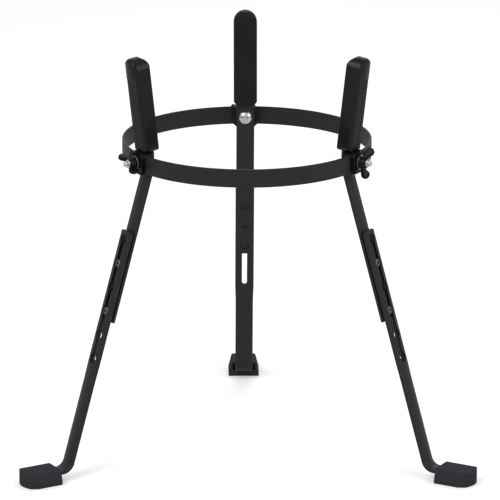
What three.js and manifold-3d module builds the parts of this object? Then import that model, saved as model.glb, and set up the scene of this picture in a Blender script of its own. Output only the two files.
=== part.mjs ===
// Conga stand: a steel ring carried by three splayed, telescoping legs.
// Each leg's upper bar runs up past the ring as a peg inside a rubber pad that grips the drum.
// A moulded clamp, a carriage bolt and a wing nut hold each leg to the ring.
// Millimetres, +Z up, origin on the floor under the middle of the part's box.

import * as THREE from 'three';
import { mergeVertices } from 'three/addons/utils/BufferGeometryUtils.js';
import Module from 'manifold-3d';

const wasm = await Module();
wasm.setup();

// Fits shared by all pieces
const seatGap = 0.3;
const threadGap = 0.15;
const overrun = 2;

// Ring band
const ringOuterRadius = 169.5;
const ringThickness = 3;
const ringHeight = 25;
const ringEdgeRadius = 0.9;

// Crowned steel bar that both leg halves are bent from
const barWidth = 25;
const barEdgeThickness = 4.2;
const barCrownHeight = 2.2;
const barCornerRadius = 0.9;
const barBendRadius = 22;

// Upper leg
const jointAbove = 13.5;
const jointBelow = 9;
const pegLength = 122;
const pegLeanDegrees = 6.85;
const upperLegLength = 215.9;
const legSplayDegrees = 16.82;

// Lower leg
const legOverlap = 125.3;
const lowerLegLength = 337.15;
const slotZoneWidth = 26.4;
const slotZoneTaper = 20;
const lowerTopCornerRadius = 4;
const toeBendRadius = 18;
const toeLength = 58.3;
const slotWidth = 7.1;
const seatPitch = 33.35;
const seatCount = 6;
const firstSeatDrop = 12.1;
const seatDiameter = 13.6;
const seatFloor = 3.4;
const seatRelief = 0.4;
const trackDiameter = 12.2;

// Clamp screws, their nuts and the guide pips that share the slot
const screwSeats = { upper: 1, lower: 3 };
const pipSeats = [0, 2];
const screwShankDiameter = 6;
const screwHeadDiameter = 11.5;
const screwHeadHeight = 2.2;
const screwHeadRim = 0.7;
const screwSocketAcross = 4;
const screwSocketDepth = 1.3;
const screwNutAcross = 10;
const screwNutThickness = 2.4;
const nutRecessDiameter = 12.4;
const pipDiameter = 6.4;
const pipHeight = 2.6;
const pipDimpleDiameter = 8;
const pipDimpleDepth = 2;

// Rubber pad on each peg
const padWall = 6.5;
const padSideWall = 3.65;
const padStart = 5.5;
const padTopWall = 14.5;
const padInnerCrownRadius = 10;
const padOuterCrownRadius = 4.5;
const padEdgeRadius = 1;
const padCutWidth = 4.4;
const padCutHeight = 7;
const padCapHeight = 28.5;
const padRecess = 0.8;
const padRecessSlope = 6;
const padRibCount = 6;
const padGrooveWidth = 2.2;
const padGrooveDepth = 0.9;
const padBandWidth = 9;
const padBandDepth = 0.3;
const padBandMargin = 16;

// Moulded clamp block and plate on the ring
const clampWidth = 33.6;
const clampHeight = 28.8;
const clampChamfer = 4.6;
const clampEdgeRadius = 0.9;
const blockThickness = 8;
const blockShoulder = 2.4;
const plateThickness = 4;
const lipReach = 1.95;

// Carriage bolt, washer and wing nut
const boltDiameter = 8;
const boltHeadDiameter = 17.6;
const boltHeadHeight = 3.9;
const boltNeckLength = 5;
const boltProud = 4.3;
const boltHoleDiameter = 8.6;
const boltTipChamfer = 0.8;
const washerDiameter = 20;
const washerThickness = 1.2;
const nutFlangeDiameter = 17;
const nutFlangeHeight = 1.6;
const nutHubDiameter = 15.4;
const nutHubHeight = 9;
const nutInsertWall = 1.5;
const nutInsertProud = 1.6;
const earTipRadius = 6;
const earTipReach = 15.4;
const earTipRise = 9.6;
const earFootRise = 1;
const earThickness = 5.2;
const earEdgeRadius = 1.3;

// Rubber foot
const footHeight = 20.5;
const toeClearance = 10.5;
const footWidth = 44;
const footTopWidth = 33;
const footSideRise = 5;
const footTopRadius = 4;
const footStart = 19.7;
const footLength = 50.6;
const footTipBulge = 9;
const footTipCornerRadius = 5;
const footTipSlope = 7;
const mouthWidth = 32;
const mouthHeight = 11.5;
const mouthDepth = 9;
const mouthCornerRadius = 3;

// Where the legs stand round the ring, and how far each wing nut is turned
const legs = [
  { side: 'rear', azimuthDegrees: 90, nutTurnDegrees: 25 },
  { side: 'left', azimuthDegrees: 210, nutTurnDegrees: -22 },
  { side: 'right', azimuthDegrees: 330, nutTurnDegrees: 65 },
];

// Facets
const ringSegments = 72;
const roundSegments = 16;
const smallSegments = 12;
const crownSegments = 5;
const cornerSegments = 1;
const mouldedSegments = 2;
const bendSegments = 3;
const padTopSegments = 10;
const toeBendSegments = 7;

// Sizes that follow from the ones above
const ringInnerRadius = ringOuterRadius - ringThickness;
const barThickness = barEdgeThickness + barCrownHeight;
const crownRadius = ((barWidth / 2) ** 2 + barCrownHeight ** 2) / (2 * barCrownHeight);
const blockOuterRadius = ringInnerRadius - seatGap;
const barFaceRadius = blockOuterRadius - blockThickness - seatGap - barThickness;
const plateInnerRadius = ringOuterRadius + seatGap;
const plateOuterRadius = plateInnerRadius + plateThickness;
const washerInnerRadius = plateOuterRadius + seatGap;
const nutBaseRadius = washerInnerRadius + washerThickness + seatGap;
const boltEndRadius = nutBaseRadius + nutHubHeight + nutInsertProud + boltProud;
const lowerLegTop = upperLegLength - legOverlap;
const lowerLegOffset = barThickness + seatGap;
const legSplay = THREE.MathUtils.degToRad(legSplayDegrees);
const pegLean = THREE.MathUtils.degToRad(pegLeanDegrees);

// Materials
const powderCoat = new THREE.MeshStandardMaterial({ color: 0x26262a, roughness: 0.5, metalness: 0.1 });
const rubber = new THREE.MeshStandardMaterial({ color: 0x1f1e22, roughness: 0.8, metalness: 0 });
const footRubber = new THREE.MeshStandardMaterial({ color: 0x2c2b30, roughness: 0.75, metalness: 0 });
const plastic = new THREE.MeshStandardMaterial({ color: 0x0d1112, roughness: 0.3, metalness: 0 });
const bright = new THREE.MeshStandardMaterial({ color: 0xd4d5d6, roughness: 0.22, metalness: 1 });
const darkSteel = new THREE.MeshStandardMaterial({ color: 0x4c4c4e, roughness: 0.4, metalness: 0.9 });

// Solids and meshes

/** Turns a closed three.js geometry into a solid that can be cut and joined. */
function solid(geometry) {
  const bare = geometry.clone();
  bare.deleteAttribute('normal');
  bare.deleteAttribute('uv');
  const merged = mergeVertices(bare);
  return new wasm.Manifold(new wasm.Mesh({
    numProp: 3,
    vertProperties: new Float32Array(merged.attributes.position.array),
    triVerts: new Uint32Array(merged.index.array),
  }));
}

/** Turns a solid back into a three.js geometry with flat-shaded faces. */
function geometryOf(body) {
  const { vertProperties, triVerts, numProp } = body.getMesh();
  const positions = new Float32Array((vertProperties.length / numProp) * 3);
  for (let vertex = 0; vertex < positions.length / 3; vertex += 1) {
    positions.set(vertProperties.subarray(vertex * numProp, vertex * numProp + 3), vertex * 3);
  }
  const indexed = new THREE.BufferGeometry();
  indexed.setAttribute('position', new THREE.BufferAttribute(positions, 3));
  indexed.setIndex(new THREE.BufferAttribute(new Uint32Array(triVerts), 1));
  const geometry = indexed.toNonIndexed();
  geometry.computeVertexNormals();
  return geometry;
}

/** Cuts every cutter geometry out of a body. */
function cut(body, cutters) {
  return cutters.reduce((rest, cutter) => rest.subtract(solid(cutter)), body);
}

/** A named mesh of a solid. */
function piece(name, body, material) {
  const mesh = new THREE.Mesh(geometryOf(body), material);
  mesh.name = name;
  return mesh;
}

// Outlines

/** Points on an arc, both ends included, with the angles in degrees. */
function arc(x, y, radius, from, to, segments) {
  return Array.from({ length: segments + 1 }, (_, step) => {
    const angle = THREE.MathUtils.degToRad(from + ((to - from) * step) / segments);
    return new THREE.Vector2(x + radius * Math.cos(angle), y + radius * Math.sin(angle));
  });
}

/** A rectangle centred on x, with rounded corners of one radius below and one above. */
function roundedRectangle(width, bottom, top, bottomRadius, topRadius, segments = mouldedSegments) {
  const half = width / 2;
  return new THREE.Shape([
    ...arc(-half + bottomRadius, bottom + bottomRadius, bottomRadius, 180, 270, segments),
    ...arc(half - bottomRadius, bottom + bottomRadius, bottomRadius, 270, 360, segments),
    ...arc(half - topRadius, top - topRadius, topRadius, 0, 90, segments),
    ...arc(-half + topRadius, top - topRadius, topRadius, 90, 180, segments),
  ]);
}

/** The bar's section: flat below, crowned above. Growth widens it on every side. */
function barSection(width, growth = 0, corner = barCornerRadius) {
  const half = width / 2 + growth;
  const radius = crownRadius + growth;
  const centre = barThickness - crownRadius;
  const edgeTop = centre + Math.sqrt(radius ** 2 - half ** 2) - corner;
  const crownAngle = THREE.MathUtils.radToDeg(Math.asin((half - corner) / radius));
  return new THREE.Shape([
    ...arc(-half + corner, -growth + corner, corner, 180, 270, cornerSegments),
    ...arc(half - corner, -growth + corner, corner, 270, 360, cornerSegments),
    new THREE.Vector2(half, edgeTop),
    ...arc(0, centre, radius, 90 - crownAngle, 90 + crownAngle, crownSegments),
    new THREE.Vector2(-half, edgeTop),
  ]);
}

// Forms

/** A line through corner points in the YZ plane, with a round bend at every inner corner. */
class BentPath extends THREE.Curve {
  constructor(corners, bends) {
    super();
    this.stations = [];
    const direction = (index) => corners[index + 1].clone().sub(corners[index]).normalize();
    this.addStation(corners[0], direction(0));
    bends.forEach(({ radius, segments }, bend) => {
      const corner = corners[bend + 1];
      const before = direction(bend);
      const after = direction(bend + 1);
      const angle = before.angleTo(after);
      const setback = radius * Math.tan(angle / 2);
      const start = corner.clone().addScaledVector(before, -setback);
      const inward = after.clone().addScaledVector(before, -after.dot(before)).normalize();
      for (let step = 0; step <= segments; step += 1) {
        const turned = (angle * step) / segments;
        const point = start.clone()
          .addScaledVector(before, radius * Math.sin(turned))
          .addScaledVector(inward, radius * (1 - Math.cos(turned)));
        const tangent = before.clone().multiplyScalar(Math.cos(turned))
          .addScaledVector(inward, Math.sin(turned));
        this.addStation(point, tangent);
      }
    });
    this.addStation(corners[corners.length - 1], direction(corners.length - 2));
  }

  addStation(point, tangent) {
    this.stations.push({ point: point.clone(), tangent: tangent.clone() });
  }

  get steps() {
    return this.stations.length - 1;
  }

  stationAt(share) {
    return this.stations[Math.round(share * this.steps)];
  }

  getPoint(share, target = new THREE.Vector3()) {
    return target.copy(this.stationAt(share).point);
  }

  getPointAt(share, target) {
    return this.getPoint(share, target);
  }

  getTangentAt(share, target = new THREE.Vector3()) {
    return target.copy(this.stationAt(share).tangent);
  }
}

/** A section swept along a bent path. */
function sweep(section, path) {
  return new THREE.ExtrudeGeometry(section, {
    steps: path.steps,
    extrudePath: path,
    bevelEnabled: false,
  });
}

/** An outline in X and Z given depth along Y, with its edges rounded. */
function slab(shape, yStart, thickness, edgeRadius = 0, edgeSegments = cornerSegments) {
  const geometry = new THREE.ExtrudeGeometry(shape, {
    depth: thickness - 2 * edgeRadius,
    bevelEnabled: edgeRadius > 0,
    bevelThickness: edgeRadius,
    bevelSize: edgeRadius,
    bevelOffset: -edgeRadius,
    bevelSegments: edgeSegments,
  });
  geometry.rotateX(Math.PI / 2);
  geometry.translate(0, yStart + thickness - edgeRadius, 0);
  return geometry;
}

/** An outline in Y and Z given width across the leg. */
function crosswise(shape, width) {
  const geometry = new THREE.ExtrudeGeometry(shape, { depth: width, bevelEnabled: false });
  geometry.translate(0, 0, -width / 2);
  return geometry.applyMatrix4(new THREE.Matrix4().makeBasis(
    new THREE.Vector3(0, 1, 0), new THREE.Vector3(0, 0, 1), new THREE.Vector3(1, 0, 0),
  ));
}

/** A profile of [radius, y] pairs turned about the Y axis. */
function turned(profile, segments = roundSegments) {
  return new THREE.LatheGeometry(profile.map(([radius, y]) => new THREE.Vector2(radius, y)), segments);
}

/** A straight round cutter or peg along Y, between two places. */
function rod(diameter, yStart, yEnd, segments = smallSegments) {
  const geometry = new THREE.CylinderGeometry(diameter / 2, diameter / 2, yEnd - yStart, segments);
  geometry.translate(0, (yStart + yEnd) / 2, 0);
  return geometry;
}

/** A hexagonal prism along Y, given across its flats. */
function hexagon(across, yStart, yEnd) {
  return rod(across / Math.cos(Math.PI / 6), yStart, yEnd, 6);
}

/** A geometry moved along the leg: down from the lower bend by a distance. */
function downLeg(geometry, distance) {
  return geometry.translate(0, 0, -distance);
}

// Frames of the leg, from the middle of the joint on the bar's inner face
const legFrame = new THREE.Matrix4().makeRotationX(legSplay).setPosition(0, 0, -jointBelow);
const pegFrame = new THREE.Matrix4().makeRotationX(-pegLean).setPosition(0, 0, jointAbove);
const firstSeatPlace = lowerLegTop + firstSeatDrop;
const seatDrops = Array.from({ length: seatCount }, (_, seat) => firstSeatPlace + seat * seatPitch);

/** A point in the leg's YZ plane, seen from the middle of the joint. */
function pointIn(frame, y, z) {
  return new THREE.Vector3(0, y, z).applyMatrix4(frame);
}

/** The line of the upper bar's inner face: peg, joint and leg. */
function upperPath(pegEnd, legEnd) {
  return new BentPath([
    pointIn(pegFrame, 0, pegEnd),
    new THREE.Vector3(0, 0, jointAbove),
    new THREE.Vector3(0, 0, -jointBelow),
    pointIn(legFrame, 0, -legEnd),
  ], [
    { radius: barBendRadius, segments: bendSegments },
    { radius: barBendRadius, segments: bendSegments },
  ]);
}

/** The upper bar's shape grown all round, which cuts its seat in the pad and the clamp block. */
function barSeat() {
  return sweep(barSection(barWidth, seatGap), upperPath(pegLength + seatGap, upperLegLength));
}

// Ring

/** The rolled band, drilled for the three carriage bolts. */
function makeRing() {
  const edge = ringEdgeRadius;
  const half = ringHeight / 2;
  const profile = [
    ...arc(ringInnerRadius + edge, -half + edge, edge, 180, 270, cornerSegments),
    ...arc(ringOuterRadius - edge, -half + edge, edge, 270, 360, cornerSegments),
    ...arc(ringOuterRadius - edge, half - edge, edge, 0, 90, cornerSegments),
    ...arc(ringInnerRadius + edge, half - edge, edge, 90, 180, cornerSegments),
  ].map(({ x, y }) => [x, y]);
  const band = turned([...profile, profile[0]], ringSegments);
  band.rotateX(Math.PI / 2);
  const holes = legs.map(({ azimuthDegrees }) => {
    const hole = rod(boltHoleDiameter, ringInnerRadius - overrun, ringOuterRadius + overrun);
    return hole.rotateZ(THREE.MathUtils.degToRad(azimuthDegrees - 90));
  });
  return cut(solid(band), holes);
}

/** The space round the band that the clamp's two halves leave free. */
function bandChannel() {
  const half = ringHeight / 2 + seatGap;
  const inner = ringInnerRadius - seatGap;
  const outer = ringOuterRadius + seatGap;
  const section = [[inner, -half], [outer, -half], [outer, half], [inner, half], [inner, -half]];
  const channel = turned(section, ringSegments);
  channel.rotateX(Math.PI / 2);
  return channel.translate(0, -barFaceRadius, 0);
}

// Upper leg and pad

/** The upper bar with its square bolt hole, nut recesses and guide pips. */
function makeUpperLeg() {
  const square = boltHoleDiameter;
  const boltHole = new THREE.BoxGeometry(square, barThickness + 2 * overrun, square);
  boltHole.translate(0, barThickness / 2, 0);
  const bar = cut(solid(sweep(barSection(barWidth), upperPath(pegLength, upperLegLength))), [boltHole]);

  const recesses = Object.values(screwSeats).flatMap((seat) => [
    rod(nutRecessDiameter, -overrun, screwNutThickness + 2 * seatGap, roundSegments),
    rod(screwShankDiameter + 2 * seatGap, -overrun, barThickness + overrun),
  ].map((cutter) => downLeg(cutter, seatDrops[seat]).applyMatrix4(legFrame)));
  const dimples = pipSeats.map((seat) => (
    downLeg(rod(pipDimpleDiameter, -overrun, pipDimpleDepth), seatDrops[seat]).applyMatrix4(legFrame)
  ));
  const pipTop = barThickness + pipHeight;
  const pips = pipSeats.map((seat) => (
    downLeg(rod(pipDiameter, barEdgeThickness, pipTop), seatDrops[seat]).applyMatrix4(legFrame)
  ));
  return pips.reduce((body, pip) => body.add(solid(pip)), cut(bar, [...recesses, ...dimples]));
}

const padHalf = barWidth / 2 + padSideWall;
const padFront = -padWall;
const padBack = barThickness + padWall;
const padTop = pegLength + padTopWall;

/** The pad from the front: round above, with both lower corners cut off. */
function padOutline() {
  return new THREE.Shape([
    new THREE.Vector2(-padHalf, padStart + padCutHeight),
    new THREE.Vector2(-padHalf + padCutWidth, padStart),
    new THREE.Vector2(padHalf - padCutWidth, padStart),
    new THREE.Vector2(padHalf, padStart + padCutHeight),
    ...arc(0, padTop - padHalf, padHalf, 0, 180, padTopSegments),
  ]);
}

/** The pad from the side: its cap is rounded over far to the drum and a little outside. */
function padSide() {
  const innerBend = padTop - padInnerCrownRadius;
  const outerBend = padTop - padOuterCrownRadius;
  return new THREE.Shape([
    new THREE.Vector2(padFront - overrun, padStart - overrun),
    new THREE.Vector2(padBack + overrun, padStart - overrun),
    new THREE.Vector2(padBack + overrun, outerBend),
    ...arc(padBack - padOuterCrownRadius, outerBend, padOuterCrownRadius, 0, 90, mouldedSegments),
    ...arc(padFront + padInnerCrownRadius, innerBend, padInnerCrownRadius, 90, 180, mouldedSegments),
    new THREE.Vector2(padFront - overrun, innerBend),
  ]);
}

/** The recess below the cap, with grooves that leave upright ribs between them. */
function padRecessCutters() {
  const floor = padBack - padRecess;
  const recessTop = padTop - padCapHeight;
  const pitch = (2 * padHalf) / padRibCount;
  const grooves = Array.from({ length: padRibCount - 1 }, (_, groove) => {
    const x = -padHalf + pitch * (groove + 1);
    return [
      new THREE.Vector2(x - padGrooveWidth / 2, floor),
      new THREE.Vector2(x, floor - padGrooveDepth),
      new THREE.Vector2(x + padGrooveWidth / 2, floor),
    ];
  }).flat();
  const ribbed = new THREE.ExtrudeGeometry(new THREE.Shape([
    new THREE.Vector2(padHalf + overrun, padBack + overrun),
    new THREE.Vector2(-padHalf - overrun, padBack + overrun),
    new THREE.Vector2(-padHalf - overrun, floor),
    ...grooves,
    new THREE.Vector2(padHalf + overrun, floor),
  ]), { depth: recessTop - padStart + overrun, bevelEnabled: false });
  ribbed.translate(0, 0, padStart - overrun);

  const slopeEnd = recessTop + (padRecessSlope * (padRecess + overrun)) / padRecess;
  const slope = crosswise(new THREE.Shape([
    new THREE.Vector2(floor, recessTop - overrun),
    new THREE.Vector2(padBack + overrun, recessTop - overrun),
    new THREE.Vector2(padBack + overrun, slopeEnd),
    new THREE.Vector2(floor, recessTop),
  ]), 2 * (padHalf + overrun));
  return [ribbed, slope];
}

/** The rubber sleeve that grips the drum: ribbed outside, banded inside, open below for the peg. */
function makePad() {
  const sleeve = solid(slab(padOutline(), padFront, padBack - padFront, padEdgeRadius));
  const capped = sleeve.intersect(solid(crosswise(padSide(), 2 * (padHalf + overrun))));
  const bandEnd = padBandWidth / 2;
  const bandShape = roundedRectangle(
    padBandWidth, padStart + padBandMargin, padTop - padBandMargin, bandEnd, bandEnd, 4,
  );
  const band = slab(bandShape, padFront - overrun, padBandDepth + overrun);
  const pegSocket = barSeat().applyMatrix4(pegFrame.clone().invert());
  return cut(capped, [...padRecessCutters(), band, pegSocket]);
}

// Clamp on the ring

/** The octagon shared by the clamp's block and plate. */
function clampOutline() {
  const x = clampWidth / 2;
  const z = clampHeight / 2;
  const chamfer = clampChamfer;
  return new THREE.Shape([
    new THREE.Vector2(-x, -z + chamfer),
    new THREE.Vector2(-x + chamfer, -z),
    new THREE.Vector2(x - chamfer, -z),
    new THREE.Vector2(x, -z + chamfer),
    new THREE.Vector2(x, z - chamfer),
    new THREE.Vector2(x - chamfer, z),
    new THREE.Vector2(-x + chamfer, z),
    new THREE.Vector2(-x, z - chamfer),
  ]);
}

/** The block between bar and band: it saddles the bar's crown and hooks over the band. */
function makeClampBlock() {
  const start = barThickness + seatGap - blockShoulder;
  const end = blockOuterRadius + lipReach - barFaceRadius;
  const blank = slab(clampOutline(), start, end - start, clampEdgeRadius);
  const boltHole = rod(boltHoleDiameter, start - overrun, end + overrun);
  return cut(solid(blank), [bandChannel(), barSeat(), boltHole]);
}

/** The plate outside the band, with lips that meet the block's. */
function makeClampPlate() {
  const start = blockOuterRadius + lipReach + seatGap - barFaceRadius;
  const end = plateOuterRadius - barFaceRadius;
  const blank = slab(clampOutline(), start, end - start, clampEdgeRadius);
  const boltHole = rod(boltHoleDiameter, start - overrun, end + overrun);
  return cut(solid(blank), [bandChannel(), boltHole]);
}

/** The carriage bolt: domed head inside, square neck in the bar, round shank to the wing nut. */
function makeCarriageBolt() {
  const shank = boltDiameter / 2;
  const head = boltHeadDiameter / 2;
  const underside = -seatGap;
  const end = boltEndRadius - barFaceRadius;
  const domeRadius = (head ** 2 + boltHeadHeight ** 2) / (2 * boltHeadHeight);
  const domeAngle = THREE.MathUtils.radToDeg(Math.asin(head / domeRadius));
  const domeCentre = underside - boltHeadHeight + domeRadius;
  const dome = arc(0, domeCentre, domeRadius, 270, 270 + domeAngle, 5).map(({ x, y }) => [x, y]);
  dome[0] = [0, underside - boltHeadHeight];
  const body = turned([
    ...dome,
    [shank, underside],
    [shank, end - boltTipChamfer],
    [shank - boltTipChamfer, end],
    [0, end],
  ], smallSegments);
  const neck = new THREE.BoxGeometry(boltDiameter, boltNeckLength + seatGap, boltDiameter);
  neck.translate(0, (boltNeckLength - seatGap) / 2, 0);
  return solid(body).add(solid(neck));
}

/** A flat ring turned about the bolt. */
function makeWasher() {
  const start = washerInnerRadius - barFaceRadius;
  const end = start + washerThickness;
  const inner = boltHoleDiameter / 2;
  const outer = washerDiameter / 2;
  return solid(turned([[inner, start], [outer, start], [outer, end], [inner, end], [inner, start]]));
}

// Wing nut

const nutStart = nutBaseRadius - barFaceRadius;
const insertBore = boltDiameter / 2 + threadGap;
const insertRadius = insertBore + nutInsertWall;

/** One ear's outline: a web that rises from the hub to a round tip. */
function earOutline() {
  const lowest = -60;
  const highest = 130;
  const tip = arc(earTipReach, earTipRise, earTipRadius, lowest, highest, 8);
  return new THREE.Shape([
    new THREE.Vector2(0, earFootRise),
    new THREE.Vector2(nutHubDiameter / 2, earFootRise),
    ...tip,
    new THREE.Vector2(nutHubDiameter / 2, nutHubHeight - earFootRise),
    new THREE.Vector2(0, nutHubHeight - earFootRise),
  ]);
}

/** The moulded wing: a flanged hub with two round-edged ears, bored for its metal insert. */
function makeWingNut() {
  const flange = nutFlangeDiameter / 2;
  const hub = nutHubDiameter / 2;
  const hubTop = nutStart + nutHubHeight;
  const hubBody = turned([
    [0, nutStart],
    [flange, nutStart],
    [flange, nutStart + nutFlangeHeight],
    [hub, nutStart + 2 * nutFlangeHeight],
    [hub, hubTop - earEdgeRadius],
    [hub - earEdgeRadius, hubTop],
    [0, hubTop],
  ], smallSegments);
  const ear = new THREE.ExtrudeGeometry(earOutline(), {
    depth: earThickness - 2 * earEdgeRadius,
    bevelThickness: earEdgeRadius,
    bevelSize: earEdgeRadius,
    bevelOffset: -earEdgeRadius,
    bevelSegments: mouldedSegments,
  });
  ear.translate(0, nutStart, -earThickness / 2 + earEdgeRadius);
  const otherEar = ear.clone().rotateY(Math.PI);
  const bore = rod(2 * (insertRadius + threadGap), nutStart - overrun, hubTop + overrun);
  return cut(solid(hubBody).add(solid(ear)).add(solid(otherEar)), [bore]);
}

/** The wing nut's threaded metal insert, which stands a little proud of the hub. */
function makeNutInsert() {
  const end = nutStart + nutHubHeight + nutInsertProud;
  return solid(turned([
    [insertBore, nutStart],
    [insertRadius, nutStart],
    [insertRadius, end],
    [insertBore, end],
    [insertBore, nutStart],
  ], smallSegments));
}

// Lower leg

const lowerFace = lowerLegOffset;
const toeCorner = pointIn(legFrame, lowerFace, -(lowerLegTop + lowerLegLength));

/** The lower bar's face outline: round top corners, the wide slot zone, then the plain width. */
function lowerLegOutline() {
  const wide = slotZoneWidth / 2;
  const plain = barWidth / 2;
  const top = -lowerLegTop;
  const corner = lowerTopCornerRadius;
  const taperStart = -(seatDrops[seatCount - 1] + seatDiameter / 2 + overrun);
  const end = -(lowerLegTop + lowerLegLength + toeLength);
  return new THREE.Shape([
    new THREE.Vector2(-plain, end),
    new THREE.Vector2(plain, end),
    new THREE.Vector2(plain, taperStart - slotZoneTaper),
    new THREE.Vector2(wide, taperStart),
    ...arc(wide - corner, top - corner, corner, 0, 90, mouldedSegments),
    ...arc(-wide + corner, top - corner, corner, 90, 180, mouldedSegments),
    new THREE.Vector2(-wide, taperStart),
    new THREE.Vector2(-plain, taperStart - slotZoneTaper),
  ]);
}

/** The slotted lower bar, bent outward at the floor, with a screw track and its round seats. */
function makeLowerLeg() {
  const path = new BentPath([
    pointIn(legFrame, lowerFace, -lowerLegTop),
    toeCorner,
    toeCorner.clone().add(new THREE.Vector3(0, toeLength, 0)),
  ], [{ radius: toeBendRadius, segments: toeBendSegments }]);
  const bar = solid(sweep(barSection(slotZoneWidth), path));
  const faceDepth = lowerFace + toeLength + barThickness + overrun;
  const outline = slab(lowerLegOutline(), -overrun, faceDepth).applyMatrix4(legFrame);
  const trimmed = bar.intersect(solid(outline));

  const firstSeat = seatDrops[0];
  const lastSeat = seatDrops[seatCount - 1];
  const run = (width) => roundedRectangle(
    width, -lastSeat - width / 2, -firstSeat + width / 2, width / 2, width / 2, 4,
  );
  const floor = lowerFace + seatFloor;
  const through = barThickness + 2 * overrun;
  const slot = slab(run(slotWidth), lowerFace - overrun, through);
  const track = slab(run(trackDiameter), floor, through);
  const seats = seatDrops.map((drop) => (
    downLeg(rod(seatDiameter, floor - seatRelief, floor + through, roundSegments), drop)
  ));
  return cut(trimmed, [slot, track, ...seats].map((cutter) => cutter.applyMatrix4(legFrame)));
}

/** The button-head screw that clamps the two bars through the slot. */
function makeScrew() {
  const shank = screwShankDiameter / 2;
  const head = screwHeadDiameter / 2;
  const tip = seatGap;
  const underside = lowerFace + seatFloor + seatGap;
  const top = underside + screwHeadHeight;
  const socket = screwSocketAcross / 2 / Math.cos(Math.PI / 6) + screwHeadRim;
  const body = turned([
    [0, tip],
    [shank, tip],
    [shank, underside],
    [head, underside],
    [head, underside + screwHeadRim],
    [(head + socket) / 2, top - screwHeadRim / 2],
    [socket, top],
    [0, top],
  ], smallSegments);
  return cut(solid(body), [hexagon(screwSocketAcross, top - screwSocketDepth, top + overrun)]);
}

/** The hexagon nut sunk in the upper leg's inner face. */
function makeScrewNut() {
  const bore = rod(screwShankDiameter + 2 * threadGap, -overrun, screwNutThickness + overrun);
  return cut(solid(hexagon(screwNutAcross, seatGap, seatGap + screwNutThickness)), [bore]);
}

// Foot

/** The rubber shoe on the toe: an arched, round-nosed block with an open mouth and a socket. */
function makeFoot() {
  const base = -toeClearance;
  const top = base + footHeight;
  const half = footWidth / 2;
  const halfTop = footTopWidth / 2;
  const end = footStart + footLength;
  const archShape = new THREE.Shape([
    new THREE.Vector2(-half, base),
    new THREE.Vector2(half, base),
    new THREE.Vector2(half, base + footSideRise),
    ...arc(halfTop - footTopRadius / 2, top - footTopRadius, footTopRadius, 30, 90, 3),
    ...arc(-halfTop + footTopRadius / 2, top - footTopRadius, footTopRadius, 90, 150, 3),
    new THREE.Vector2(-half, base + footSideRise),
  ]);
  const arch = slab(archShape, footStart, footLength);

  const noseRadius = (half ** 2 + footTipBulge ** 2) / (2 * footTipBulge);
  const noseAngle = THREE.MathUtils.radToDeg(Math.asin((half - footTipCornerRadius) / noseRadius));
  const planShape = new THREE.Shape([
    new THREE.Vector2(-half - overrun, footStart - overrun),
    new THREE.Vector2(half + overrun, footStart - overrun),
    new THREE.Vector2(half + overrun, end - footTipBulge - footTipCornerRadius),
    new THREE.Vector2(half, end - footTipBulge - footTipCornerRadius),
    ...arc(0, end - noseRadius, noseRadius, 90 - noseAngle, 90 + noseAngle, 8),
    new THREE.Vector2(-half, end - footTipBulge - footTipCornerRadius),
    new THREE.Vector2(-half - overrun, end - footTipBulge - footTipCornerRadius),
  ]);
  const planDepth = footHeight + 2 * overrun;
  const plan = new THREE.ExtrudeGeometry(planShape, { depth: planDepth, bevelEnabled: false });
  plan.translate(0, 0, base - overrun);

  const sideShape = new THREE.Shape([
    new THREE.Vector2(footStart - overrun, base - overrun),
    new THREE.Vector2(end + overrun, base - overrun),
    new THREE.Vector2(end + overrun, base + footSideRise),
    new THREE.Vector2(end, base + footSideRise),
    ...arc(end - footTipSlope, top - footTipSlope, footTipSlope, 20, 90, 4),
    new THREE.Vector2(footStart - overrun, top),
  ]);
  const side = crosswise(sideShape, footWidth + 2 * overrun);

  const toeSection = barSection(barWidth, seatGap, seatGap);
  const toeSeat = slab(toeSection, footStart - overrun, toeLength - footStart + overrun + seatGap);
  const mouthBottom = (barThickness - mouthHeight) / 2;
  const mouthShape = roundedRectangle(
    mouthWidth, mouthBottom, mouthBottom + mouthHeight, mouthCornerRadius, mouthCornerRadius,
  );
  const mouth = slab(mouthShape, footStart - overrun, mouthDepth + overrun);
  return cut(solid(arch).intersect(solid(plan)).intersect(solid(side)), [toeSeat, mouth]);
}

// Assembly

const blanks = {
  upperLeg: makeUpperLeg(),
  pad: makePad(),
  clampBlock: makeClampBlock(),
  clampPlate: makeClampPlate(),
  carriageBolt: makeCarriageBolt(),
  washer: makeWasher(),
  wingNut: makeWingNut(),
  nutInsert: makeNutInsert(),
  lowerLeg: makeLowerLeg(),
  screw: makeScrew(),
  screwNut: makeScrewNut(),
  foot: makeFoot(),
};

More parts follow.
